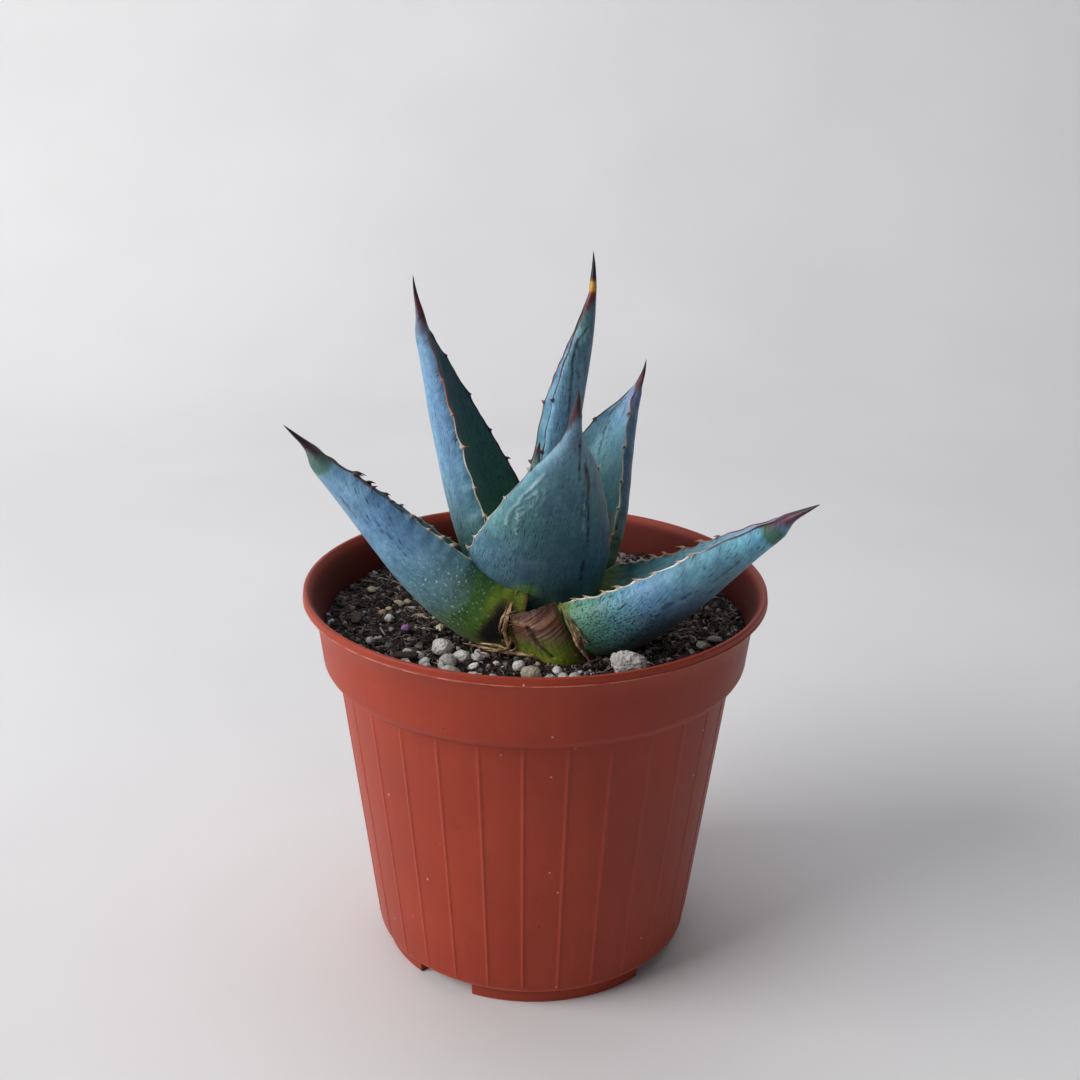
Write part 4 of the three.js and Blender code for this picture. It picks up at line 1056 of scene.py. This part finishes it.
def make_stone(node, name, tint, seed, rough, pits, sides):
    """A stone with flats knocked off, lumps and pits, in its node's box."""
    low, high = node_box(node)
    form = ball(sides * 3 // 4, sides)
    stream = np.random.RandomState(seed)
    for _ in range(7):
        direction = unit(stream.normal(size=3))
        depth = stream.uniform(0.62, 0.86)
        over = np.maximum(form @ direction - depth, 0)
        form = form - over[..., None] * direction * 0.85
    size = (high - low) / 2
    coarse = turbulence(form * size, 0.9, seed) * rough
    fine = turbulence(form * size, 3.2, seed + 5) * rough * 0.5
    form = form * (1 + coarse + fine)[..., None]
    if pits:
        hollow = smooth(0.08, 0.2, turbulence(form * size, 1.9, seed + 9))
        form = form * (1 - pits * hollow)[..., None]
    form = fill_box(form, low, high)
    shells = Shells()
    shade = lerp(0.75, 1.15, smooth(-0.3, 0.3, turbulence(form, 1.3, seed + 3)))
    shells.tube(form, tint * shade[..., None])
    return shells.build(name, MINERAL, [node])


def make_bark(node, name, seed):
    """A layered, blocky chip of bark in its node's box."""
    low, high = node_box(node)
    form = ball(40, 40)
    form = np.sign(form) * np.abs(form) ** 0.6 * ((high - low) / 2)
    stream = np.random.RandomState(seed)
    layers = 0.09 * np.round(fractal(form[..., 0] * 0.7, form[..., 1] * 2.2, seed) * 5)
    form = form * (1 + (turbulence(form, 1.1, seed) * 0.45 + layers * 0.3)[..., None])
    form = fill_box(form, low, high)
    shells = Shells()
    tone = lerp(rgb(50, 38, 34), rgb(78, 62, 54), stream.uniform())
    shells.tube(form, np.broadcast_to(tone, form.shape), form)
    return shells.build(name, BARK, [node])


def three_weights(w):
    """Weights of the points at -1, 0 and 1 for the place w between them."""
    return np.stack([w * (w - 1) / 2, 1 - w ** 2, w * (w + 1) / 2])


def sheet_point(lines, u, v):
    """Point of a sheet laid through three lines, left to right, each of three points from bottom to top."""
    return np.einsum("i...,j...,ijk->...k", three_weights(u), three_weights(2 * v - 1),
                     np.asarray(lines, float))


def make_cut_leaf():
    """The thick stump of a cut leaf, wrapped round the front of the stem."""
    lines = [[(-4.0, -20.8, 78.2), (-5.4, -20.8, 83.2), (-6.3, -20.2, 88.4)],
             [(4.0, -24.8, 78.2), (2.2, -24.7, 84.0), (-0.4, -21.5, 90.2)],
             [(12.0, -22.8, 78.2), (8.2, -24.4, 85.2), (4.6, -19.6, 91.6)]]
    thick, wide, tall = 2.0, 6.2, 12.5
    rows, around = 120, 132
    side, height = ring_grid(rows, around)
    q = np.linspace(0, 1, rows)[:, None] * np.ones((1, around))
    ragged = 1 + 0.1 * (fractal(side * 6, 0 * side + 2, 11) - 0.5)
    v = lerp(-0.06, 1.0, q) * ragged
    mm_along, mm_across = v * tall, side * wide
    edge = 0.07 * (fractal(mm_along / 1.3, np.sign(side), 83) - 0.5) * np.abs(side) ** 5
    u = side * (1 + edge)
    place = sheet_point(lines, u, v)
    beside, above = sheet_point(lines, u + 0.01, v), sheet_point(lines, u, v + 0.01)
    outward = unit(np.cross(beside - place, above - place))
    front = smooth(-0.1, 0.25, -height)
    slant = fractal((mm_across + 0.35 * mm_along) / 5, (mm_along - 0.35 * mm_across) / 0.27, 5)
    band = smooth(0.42, 0.66, v + 0.1 * (fractal(mm_across / 1.2, mm_along / 1.2,
                                                 3) - 0.5) + 0.02 * mm_across)
    scar = segment_distance(mm_along, mm_across, [(9.6, -2.2), (6.0, -1.2), (3.4, 0.6)])
    scar = scar + 0.35 * (fractal(mm_along * 1.3, mm_across * 1.2, 9) - 0.5)
    fold_and_highlight = segment_distance(mm_along, mm_across, [(10.6, -4.6), (9.4, 0.2), (10.8, 4.4)])
    fold_and_highlight = fold_and_highlight + 0.3 * (fractal(mm_along, mm_across, 14) - 0.5)
    relief = 0.26 * (slant - 0.5) * band + 0.3 * (fractal(mm_along / 4, mm_across / 2, 15) - 0.5)
    relief = relief - 0.5 * fade_out(0.2, 0.6, scar) + 0.14 * fade_out(0.2, 0.8, fold_and_highlight)
    crown = 0.5 * np.sqrt(np.clip(1 - side ** 2, 0, 1))
    depth = thick * (1 + height) / 2 * (1 - 0.5 * smooth(0.85, 1.0, q))
    points = place + outward * (crown + relief * front - depth)[..., None]
    tones = [(0, rgb(122, 134, 26)), (0.22, rgb(132, 140, 34)), (0.42, rgb(104, 110, 34)),
             (0.55, rgb(98, 82, 44)), (0.7, rgb(98, 54, 38)), (0.86, rgb(108, 62, 44)), (1, rgb(76, 44, 34))]
    colour = ramp(v + 0.08 * (fractal(mm_across, mm_along / 2, 21) - 0.5), tones)
    colour = colour * lerp(lerp(0.8, 1.2, slant), lerp(0.15, 1.95, slant), band)[..., None]
    colour = colour * lerp(0.75, 1.2, fractal(mm_along / 3, mm_across / 0.5, 17))[..., None]
    colour = lerp(colour, rgb(34, 20, 16), (0.92 * fade_out(0.15, 0.55, scar))[..., None])
    # Painted highlight: a pale line along the fold
    colour = lerp(colour, rgb(186, 140, 108), (0.3 * fade_out(0.15, 0.6, fold_and_highlight) * band)[..., None])
    dry = smooth(0.76, 0.95, np.abs(side) + 0.2 * (fractal(mm_along / 1.5, side, 18) - 0.5))
    colour = lerp(colour, rgb(122, 88, 58), (dry * 0.85)[..., None])
    shells = Shells()
    shells.tube(points, colour, np.stack([mm_along, mm_across, height], -1), 0.3 * band)
    return shells.build("cut_leaf_stump", LEAF, ["cut_leaf_base"])


def line_through(stops, count):
    """Smooth line of points through a few stops."""
    stops = np.asarray(stops, float)
    ends = np.vstack([2 * stops[0] - stops[1], stops, 2 * stops[-1] - stops[-2]])
    k = np.linspace(0, len(stops) - 1, count)
    i = np.minimum(k.astype(int), len(stops) - 2)
    f = (k - i)[:, None]
    a, b, c, d = ends[i], ends[i + 1], ends[i + 2], ends[i + 3]
    square, cube = 2 * a - 5 * b + 4 * c - d, 3 * b - a - 3 * c + d
    return 0.5 * (2 * b + (c - a) * f + square * f ** 2 + cube * f ** 3)


PAPERY = [(0, rgb(52, 34, 26)), (0.3, rgb(120, 86, 60)), (0.5, rgb(176, 140, 102)),
          (0.72, rgb(214, 188, 148)), (1, rgb(236, 220, 190))]


def shred(shells, stops, widths, facing, seed, curl, crumple, light, thick=0.22):
    """A thin crumpled strip of dried leaf skin along a line."""
    rows = max(14, int(7 * np.linalg.norm(np.diff(np.asarray(stops, float), axis=0), axis=1).sum()))
    around = 44
    line = line_through(stops, rows)
    along = unit(np.gradient(line, axis=0))
    across = unit(np.cross(along, unit(np.asarray(facing, float))))
    out = np.cross(across, along)
    side, height = ring_grid(rows, around)
    q = np.linspace(0, 1, rows)
    mm = np.concatenate([[0], np.cumsum(np.linalg.norm(np.diff(line, axis=0), axis=1))])
    width = np.interp(q, np.linspace(0, 1, len(widths)), widths)
    width = width * np.sqrt(np.clip(np.sin(np.pi * (0.03 + 0.94 * q)), 0, 1))
    ragged = 0.45 + 1.0 * fractal(mm[:, None] / 1.1 + 0 * side, np.sign(side) * 3.0, seed)
    mm_along, mm_across = mm[:, None] + 0 * side, side * width[:, None] / 2
    bulge = crumple * (fractal(mm_along / 1.7, mm_across / 1.1, seed + 1) - 0.5)
    bulge = bulge + curl * (0.4 - side ** 2) * width[:, None] / 3
    points = line[:, None, :] + across[:, None, :] * (mm_across * ragged)[..., None]
    points = points + out[:, None, :] * (bulge - thick * height / 2)[..., None]
    shade = fractal(mm_along / 3.2, mm_across / 0.34, seed + 3)
    shade = shade + 0.5 * (fractal(mm_along / 1.5, mm_across, seed + 4) - 0.5)
    colour = ramp(shade + light - 0.5, PAPERY)
    shells.tube(points, colour, np.stack([mm_along, mm_across, 0 * side], -1))


def frayed(shells, low, high, count, seed, long, light=0.4):
    """Loose threads of torn skin between two corners of a box."""
    stream = np.random.RandomState(seed)
    low, high = np.asarray(low, float), np.asarray(high, float)
    for strand in range(count):
        start = lerp(low, high, stream.uniform(size=3))
        heading = unit(stream.normal(size=3) * np.array([0.8, 0.35, 1.0]))
        bend = stream.normal(size=3) * 0.35
        length = stream.uniform(*long)
        stops = [start + length * (heading * k + bend * k * k) for k in (0, 0.35, 0.7, 1)]
        wide = stream.uniform(0.2, 0.7)
        shade = light + stream.uniform(-0.25, 0.2)
        shred(shells, stops, [wide, wide * 0.8, 0.15], (0.1, -1, 0.2), seed + strand, 0.2, 0.2, shade, 0.14)


# Strips (stops, widths, facing, seed, curl, crumple, light) and loose threads (corners, count, seed, lengths)
SCALES = {
    "left": ([
        ([(-3.0, -15.6, 94.2), (-5.4, -19.2, 90.6), (-6.6, -21.3, 86.4), (-6.0, -21.9, 82.6),
          (-4.6, -22.2, 79.8)],
         [0.6, 1.2, 1.5, 1.2, 0.7], (-0.7, -0.8, 0.2), 301, 0.6, 0.7, 0.44),
        ([(-6.0, -19.6, 90.4), (-7.4, -20.6, 87.2), (-7.5, -21.0, 84.4)],
         [0.4, 0.9, 0.4], (-0.9, -0.5, 0.1), 302, 0.5, 0.8, 0.4),
        ([(-5.0, -21.8, 84.0), (-5.8, -22.6, 82.0), (-7.6, -22.0, 80.8)],
         [0.4, 0.9, 0.4], (-0.4, -0.9, 0.3), 303, 0.5, 0.7, 0.34),
    ], ((-7.4, -22.3, 81.5), (-5.2, -21.0, 90.0), 14, 310, (1.0, 2.8))),
    "right": ([
        ([(5.2, -20.6, 91.8), (7.4, -24.0, 88.6), (9.0, -25.7, 85.4), (10.6, -25.2, 82.2),
          (12.4, -24.2, 79.0)],
         [0.7, 1.2, 1.6, 1.3, 0.8], (0.5, -0.9, 0.2), 304, 0.6, 0.7, 0.42),
        ([(7.4, -23.4, 89.4), (9.4, -24.6, 87.0), (11.0, -25.0, 84.0)],
         [0.4, 0.9, 0.4], (0.7, -0.7, 0.2), 305, 0.5, 0.8, 0.36),
    ], ((8.4, -25.6, 81.5), (10.8, -24.4, 87.0), 9, 330, (1.0, 2.6))),
    "front": ([
        ([(-15.8, -17.0, 80.4), (-11.0, -20.2, 80.9), (-6.0, -22.4, 81.0), (-1.0, -24.2, 80.9),
          (6.1, -26.0, 80.6)],
         [0.4, 0.8, 1.0, 0.9, 0.5], (-0.1, -0.8, 0.8), 306, 0.4, 0.6, 0.46),
        ([(-12.6, -19.4, 81.6), (-8.8, -21.4, 82.0), (-5.2, -22.8, 81.6)],
         [0.3, 0.7, 0.3], (-0.3, -0.9, 0.4), 307, 0.4, 0.6, 0.46),
    ], ((-14, -24.2, 80.0), (5, -21.4, 81.4), 16, 350, (1.2, 3.6), 0.5)),
}


def make_scales():
    """Papery remains of old leaves round the foot of the rosette, one piece a scale."""
    made = []
    for side, (strips, threads) in SCALES.items():
        shells = Shells()
        for strip in strips:
            shred(shells, *strip)
        frayed(shells, *threads)
        made.append(shells.build("papery_scale_" + side, PAPER, ["dried_scale_" + side]))
    return made


def make_bud():
    """The rolled young leaf at the heart."""
    low, high = node_box("central_bud")
    length = high[2] - low[2]
    centre = (low + high) / 2
    rows, around = 120, 96
    t = np.linspace(0, 1, rows)[:, None]
    turn = 2 * np.pi * np.arange(around)[None, :] / around
    wrap = ((turn / (2 * np.pi) + 0.35 * t) % 1.0)
    radius = 3.5 * np.cos(t * np.pi / 2) ** 0.8 * (0.9 + 0.12 * wrap) + 0.02
    lean = 3.0 * t ** 2
    z = low[2] + 0.1 + (length - 0.2) * t
    x = centre[0] - 1.5 + lean + radius * np.cos(turn)
    y = centre[1] + radius * np.sin(turn)
    points = np.stack([x, y, z * np.ones_like(turn)], -1)
    tones = [(0, LIME), (0.3, rgb(130, 164, 110)), (0.7, TEAL), (0.88, rgb(100, 130, 130)), (0.94, MAROON),
             (1, DARK)]
    colour = ramp(t * np.ones_like(turn), tones)
    seam = np.exp(-((wrap - 0.02) / 0.03) ** 2)
    colour = lerp(colour, TAN, (0.7 * seam * (t < 0.9))[..., None])
    grain = np.stack([t * length * np.ones_like(turn), turn * 3.5 * np.ones_like(t), 0 * t * turn], -1)
    shells = Shells()
    shells.tube(points, colour, grain, smooth(0.9, 0.95, t * np.ones_like(turn)))
    return shells.build("rolled_young_leaf", LEAF, ["central_bud"])


# ---------------------------------------------------------------- soil
def soil_height(x, y):
    """Height of the soil surface: the CAD's mounds, heaped a little towards the wall."""
    broad = np.sin(x / 9 + 1.3) * np.cos(y / 11 - 0.4)
    fine = np.sin(x / 3.1 + y / 4.3) * np.sin(y / 3.7 - x / 5.9)
    r = np.hypot(x, y)
    heap = 0.75 * smooth(38, 47, r)
    clods = fractal(x / 3.4 + 40, y / 3.4 + 40, 61, 5) - 0.5 + 0.55 * (fractal(x / 1.1, y / 1.1, 71, 4) - 0.5)
    bank = 1.5 * np.exp(-((x + 1) / 13) ** 2 - ((y + 27) / 5.5) ** 2)
    return SOIL_LEVEL + 0.9 * (0.65 * broad + 0.35 * fine) + heap + bank + clods


def make_soil_bed():
    """The soil as one body, with its uneven top."""
    rings, sides = 170, 420
    edge = inner_radius(SOIL_LEVEL + 0.8) - 0.25
    r = np.linspace(edge, 0.25, rings)[:, None]
    turn = 2 * np.pi * np.arange(sides)[None, :] / sides
    x, y = r * np.cos(turn), r * np.sin(turn)
    top = np.stack([x, y, soil_height(x, y)], -1)
    low = []
    for z in (FOOT_H + FLOOR_T + 0.5, 20, 45, COLLAR_BOTTOM, COLLAR_BOTTOM + COLLAR_ROUND, 76):
        side = np.stack([np.cos(turn), np.sin(turn), 0 * turn], -1) * (inner_radius(z) - 0.4)
        low.append(side + [0, 0, z])
    points = np.concatenate([np.array(low).reshape(len(low), sides, 3), top])
    shade = fractal(points[..., 0] / 2.5, points[..., 1] / 2.5, 5)
    tint = lerp(rgb(38, 29, 29), rgb(84, 70, 66), shade[..., None])
    shells = Shells()
    shells.tube(points, tint)
    return shells.build("soil_bed", SOIL, ["soil"])


def icosahedron():
    """Points and faces of an icosahedron of radius 1."""
    g = (1 + 5 ** 0.5) / 2
    v = [(-1, g, 0), (1, g, 0), (-1, -g, 0), (1, -g, 0), (0, -1, g), (0, 1, g), (0, -1, -g), (0, 1, -g),
         (g, 0, -1), (g, 0, 1), (-g, 0, -1), (-g, 0, 1)]
    f = [(0, 11, 5), (0, 5, 1), (0, 1, 7), (0, 7, 10), (0, 10, 11), (1, 5, 9), (5, 11, 4), (11, 10, 2),
         (10, 7, 6),
         (7, 1, 8), (3, 9, 4), (3, 4, 2), (3, 2, 6), (3, 6, 8), (3, 8, 9), (4, 9, 5), (2, 4, 11), (6, 2, 10),
         (8, 6, 7), (9, 8, 1)]
    return unit(np.array(v, float)), f


def finer(points, faces):
    """Each triangle of a ball cut into four."""
    points, out, middles = list(points), [], {}

    def middle(a, b):
        key = (min(a, b), max(a, b))
        if key not in middles:
            middles[key] = len(points)
            points.append(unit(points[a] + points[b]))
        return middles[key]

    for a, b, c in faces:
        ab, bc, ca = middle(a, b), middle(b, c), middle(c, a)
        out += [(a, ab, ca), (b, bc, ab), (c, ca, bc), (ab, bc, ca)]
    return np.array(points), out


COARSE = icosahedron()
FINE = finer(*COARSE)
FINEST = finer(*FINE)


def free_of_plant(trees, place, clearance):
    """Whether a point on the soil is clear of the leaves, the stump and the scales."""
    world = Vector(((np.array(place) + AXIS) * MM).tolist())
    for tree in trees:
        hit = tree.find_nearest(world, (clearance + 4) * MM)
        if hit[0] is None:
            continue
        away = world - hit[0]
        if hit[3] < clearance * MM or away.dot(hit[1]) < 0:
            return False
    return True


def scatter(name, material, count, sizes, form, tones, seed, trees, sink=0.35, where=None, lumpy=0.28):
    """Many small lumps strewn on the soil, gathered into one piece."""
    stream = np.random.RandomState(seed)
    points, faces = form
    shells = Shells()
    made = 0
    for _ in range(count * 6):
        if made >= count:
            break
        r = (SOIL_R - 0.6) * math.sqrt(stream.uniform(0.02, 1))
        turn = stream.uniform(0, 2 * math.pi)
        size = stream.uniform(*sizes) * stream.choice([0.7, 1.0, 1.0, 1.45])
        x, y = r * math.cos(turn), r * math.sin(turn)
        keep = where(x, y) if where else 1.0
        shape = size * np.array([stream.uniform(0.8, 1.5), stream.uniform(0.7, 1.1),
                                 stream.uniform(0.5, 1.0)])
        tone = tones[stream.randint(len(tones))]
        spin, tip, tilt = stream.uniform(0, 6.28), stream.normal(0, 0.5), stream.normal(0, 0.5)
        lumps = stream.normal(0, lumpy, len(points))
        shade = stream.uniform(0.7, 1.25)
        if stream.uniform() > keep or r + size > SOIL_R:
            continue
        z = float(soil_height(np.array(x), np.array(y))) + (0.5 - sink) * shape[2]
        if not free_of_plant(trees, (x, y, z), size * 0.5):
            continue
        tipped = Matrix.Rotation(tip, 3, "X") @ Matrix.Rotation(tilt, 3, "Y")
        matrix = np.array(Matrix.Rotation(spin, 3, "Z") @ tipped)
        smooth_form = len(points) > 50
        body = points * (1 + lumps * (0.4 if smooth_form else 1))[:, None] * shape
        if smooth_form:
            body = body * (1 + 0.5 * turbulence(points, 1.7, made % 60)[:, None])
        shells.add(body @ matrix.T + [x, y, z], faces, tone * shade)
        made += 1
    return shells.build(name, material)


FIBRE_TONES = [rgb(110, 92, 84), rgb(70, 56, 52), rgb(162, 144, 132), rgb(46, 36, 34), rgb(204, 190, 178)]


def make_fibres(trees):
    """Fine plant fibres lying on the soil."""
    stream = np.random.RandomState(17)
    shells = Shells()
    made = 0
    for _ in range(8000):
        if made >= 2300:
            break
        r = (SOIL_R - 1.2) * math.sqrt(stream.uniform(0.02, 1))
        turn = stream.uniform(0, 2 * math.pi)
        length = stream.uniform(1.4, 5.2) * stream.choice([0.7, 1.0, 1.0, 1.5])
        heading = stream.uniform(0, 2 * math.pi)
        curve = stream.normal(0, 0.5)
        lift = stream.uniform(0.0, 0.5)
        thick = stream.uniform(0.06, 0.15) * stream.choice([0.8, 1.0, 1.0, 1.7])
        tone = FIBRE_TONES[stream.randint(5)]
        x, y = r * math.cos(turn), r * math.sin(turn)
        s = np.linspace(-0.5, 0.5, 9)
        angle = heading + curve * s * 4
        px = x + np.cumsum(np.cos(angle)) * length / 9
        py = y + np.cumsum(np.sin(angle)) * length / 9
        if np.hypot(px, py).max() > SOIL_R - 0.4:
            continue
        pz = soil_height(px, py) + 0.12 + lift * np.sin(np.pi * (s + 0.5)) * length * 0.25
        path = np.stack([px, py, pz], -1)
        if not all(free_of_plant(trees, path[k], 0.25) for k in (0, 4, 8)):
            continue
        radii = thick * (0.35 + 0.65 * np.sin(np.pi * (0.1 + 0.8 * (s + 0.5))))
        rings = sweep(path, radii, 5, np.array([0, 0, 1.0]), 0.55)
        shells.tube(rings, np.broadcast_to(tone, rings.shape))
        made += 1
    return shells.build("soil_fibres", BARK)


# ---------------------------------------------------------------- assembly
make_pot()
leaves = [make_leaf(name, look) for name, look in LEAVES.items()]
stump = make_cut_leaf()
make_bud()
scales = make_scales()
make_stone("pumice_stone", "pumice_stone_detail", rgb(196, 193, 190), 101, 0.62, 0.16, 84)
make_stone("pumice_lump", "pumice_lump_detail", rgb(218, 215, 210), 103, 0.75, 0.2, 64)
make_stone("violet_granule", "violet_granule_detail", rgb(178, 124, 186), 105, 0.9, 0.0, 36)
GRIT_TONES = [rgb(214, 211, 206), rgb(190, 186, 182), rgb(222, 214, 200), rgb(150, 146, 143),
              rgb(208, 192, 164)]
for node in sorted(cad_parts):
    if node.startswith("grit_"):
        number = int(node.split("_")[-1])
        make_stone(node, f"grain_{number:02d}", GRIT_TONES[number % 5], 200 + number, 0.5, 0.0, 32)
    elif node.startswith("bark_"):
        number = int(node.split("_")[-1])
        make_bark(node, f"chip_{number:02d}", 300 + number)

trees = []
for piece in leaves + [stump] + scales:
    mesh = piece.data
    co = np.zeros(len(mesh.vertices) * 3)
    mesh.vertices.foreach_get("co", co)
    trees.append(BVHTree.FromPolygons(co.reshape(-1, 3).tolist(), [list(p.vertices) for p in mesh.polygons]))

make_soil_bed()
PEAT = [rgb(48, 37, 38), rgb(70, 57, 57), rgb(26, 20, 22), rgb(98, 84, 82), rgb(140, 126, 122),
        rgb(36, 27, 29)]
scatter("soil_crumbs", SOIL, 3300, (0.22, 0.66), FINE, PEAT, 5, trees)
scatter("soil_dust", SOIL, 5200, (0.14, 0.36), COARSE, PEAT + [rgb(160, 150, 142)], 6, trees,
        sink=0.2)
GREYS = [rgb(150, 147, 145), rgb(112, 108, 106), rgb(184, 180, 176), rgb(96, 92, 92), rgb(204, 198, 188),
         rgb(132, 120, 108)]
PALE = [rgb(226, 223, 218), rgb(206, 202, 198), rgb(236, 232, 226), rgb(212, 198, 180)]
CREAMS = [rgb(206, 182, 142), rgb(186, 158, 118), rgb(216, 204, 182)]


def near_front(x, y):
    """Chance of keeping a white grain: high in front of the plant."""
    return 0.95 if -35 < y < -22 and -29 < x < 10 and y < -20 - 0.5 * (x + 14) else 0.03


def near_left_leaf(x, y):
    """Chance of keeping a cream grain: only behind the left leaf."""
    return 0.9 if -37 < x < -20 and -8 < y < 12 else 0.0


scatter("mineral_grains", MINERAL, 620, (0.22, 0.7), FINE, GREYS, 8, trees, sink=0.1, lumpy=0.2)
scatter("white_grains", MINERAL, 120, (0.85, 1.5), FINEST, PALE, 9, trees, sink=0.05,
        where=near_front, lumpy=0.1)
scatter("cream_grains", MINERAL, 40, (0.55, 1.15), FINEST, CREAMS, 10, trees, sink=0.05,
        where=near_left_leaf, lumpy=0.1)
make_fibres(trees)

# The stem keeps its CAD body
stem = bpy.data.objects["stem_with_roots"]
stem.data.materials.clear()
stem.data.materials.append(ROOT)


# ---------------------------------------------------------------- floor and light
def make_floor():
    """A flat floor that turns up into a backdrop. Its flat part ends at s = 0.6, its bend at 0.8."""
    front, bend_start, bend_r, wall_h, half_wide = -900, 420, 300, 900, 1500
    rows, cols = 60, 40
    s = np.linspace(0, 1, rows)
    turn = np.clip((s - 0.6) / 0.2, 0, 1) * np.pi / 2
    y = np.where(s < 0.6, lerp(front, bend_start, s / 0.6), bend_start + bend_r * np.sin(turn))
    z = np.where(s < 0.6, 0, bend_r * (1 - np.cos(turn)))
    z = np.where(s > 0.8, bend_r + (s - 0.8) / 0.2 * wall_h, z)
    x = np.linspace(-half_wide, half_wide, cols)
    points = np.stack(np.broadcast_arrays(x[None, :], y[:, None], z[:, None]), -1).reshape(-1, 3) * MM
    mesh = bpy.data.meshes.new("studio_floor")
    mesh.from_pydata(points.tolist(), [], grid_faces(rows, cols, closed=False))
    mesh.polygons.foreach_set("use_smooth", [True] * len(mesh.polygons))
    look = Look("pale_backdrop", roughness=0.85, specular=0.2)
    cloud = look.noise(look.object, 5, 3)
    look.finish(look.mix(look.range(cloud, 0.3, 0.7), rgb(224, 224, 226), rgb(230, 230, 232)))
    mesh.materials.append(look.material)
    floor = add_object("studio_floor", mesh)


def area_light(name, place, target, size, power, colour):
    """A rectangular lamp at a place, turned to a target, in metres and watts."""
    light = bpy.data.lights.new(name, "AREA")
    light.shape = "RECTANGLE"
    light.size, light.size_y = size
    light.energy = power
    light.color = colour
    lamp = add_object(name, light)
    lamp.location = place
    lamp.rotation_euler = (Vector(target) - Vector(place)).to_track_quat("-Z", "Y").to_euler()


make_floor()
area_light("window", (-1.15, -0.42, 0.66), (0, 0, 0.06), (1.0, 1.0), 20.0, (1.0, 0.985, 0.965))
area_light("fill", (0.7, -0.7, 0.7), (0, 0, 0.08), (1.0, 1.0), 0.1, (0.94, 0.96, 1.0))
area_light("top", (-0.1, 0.25, 1.0), (0, 0, 0.05), (0.9, 0.9), 2.0, (0.98, 0.99, 1.0))
area_light("backdrop", (0.1, 0.12, 1.1), (0.15, 0.72, 0.25), (1.2, 0.5), 1.0, (0.99, 0.99, 1.0))
world = bpy.context.scene.world or bpy.data.worlds.new("studio")
bpy.context.scene.world = world
world.use_nodes = True
background = world.node_tree.nodes["Background"]
background.inputs["Color"].default_value = (0.96, 0.97, 1.0, 1)
background.inputs["Strength"].default_value = 0.155
bpy.context.scene.view_settings.view_transform = "Standard"
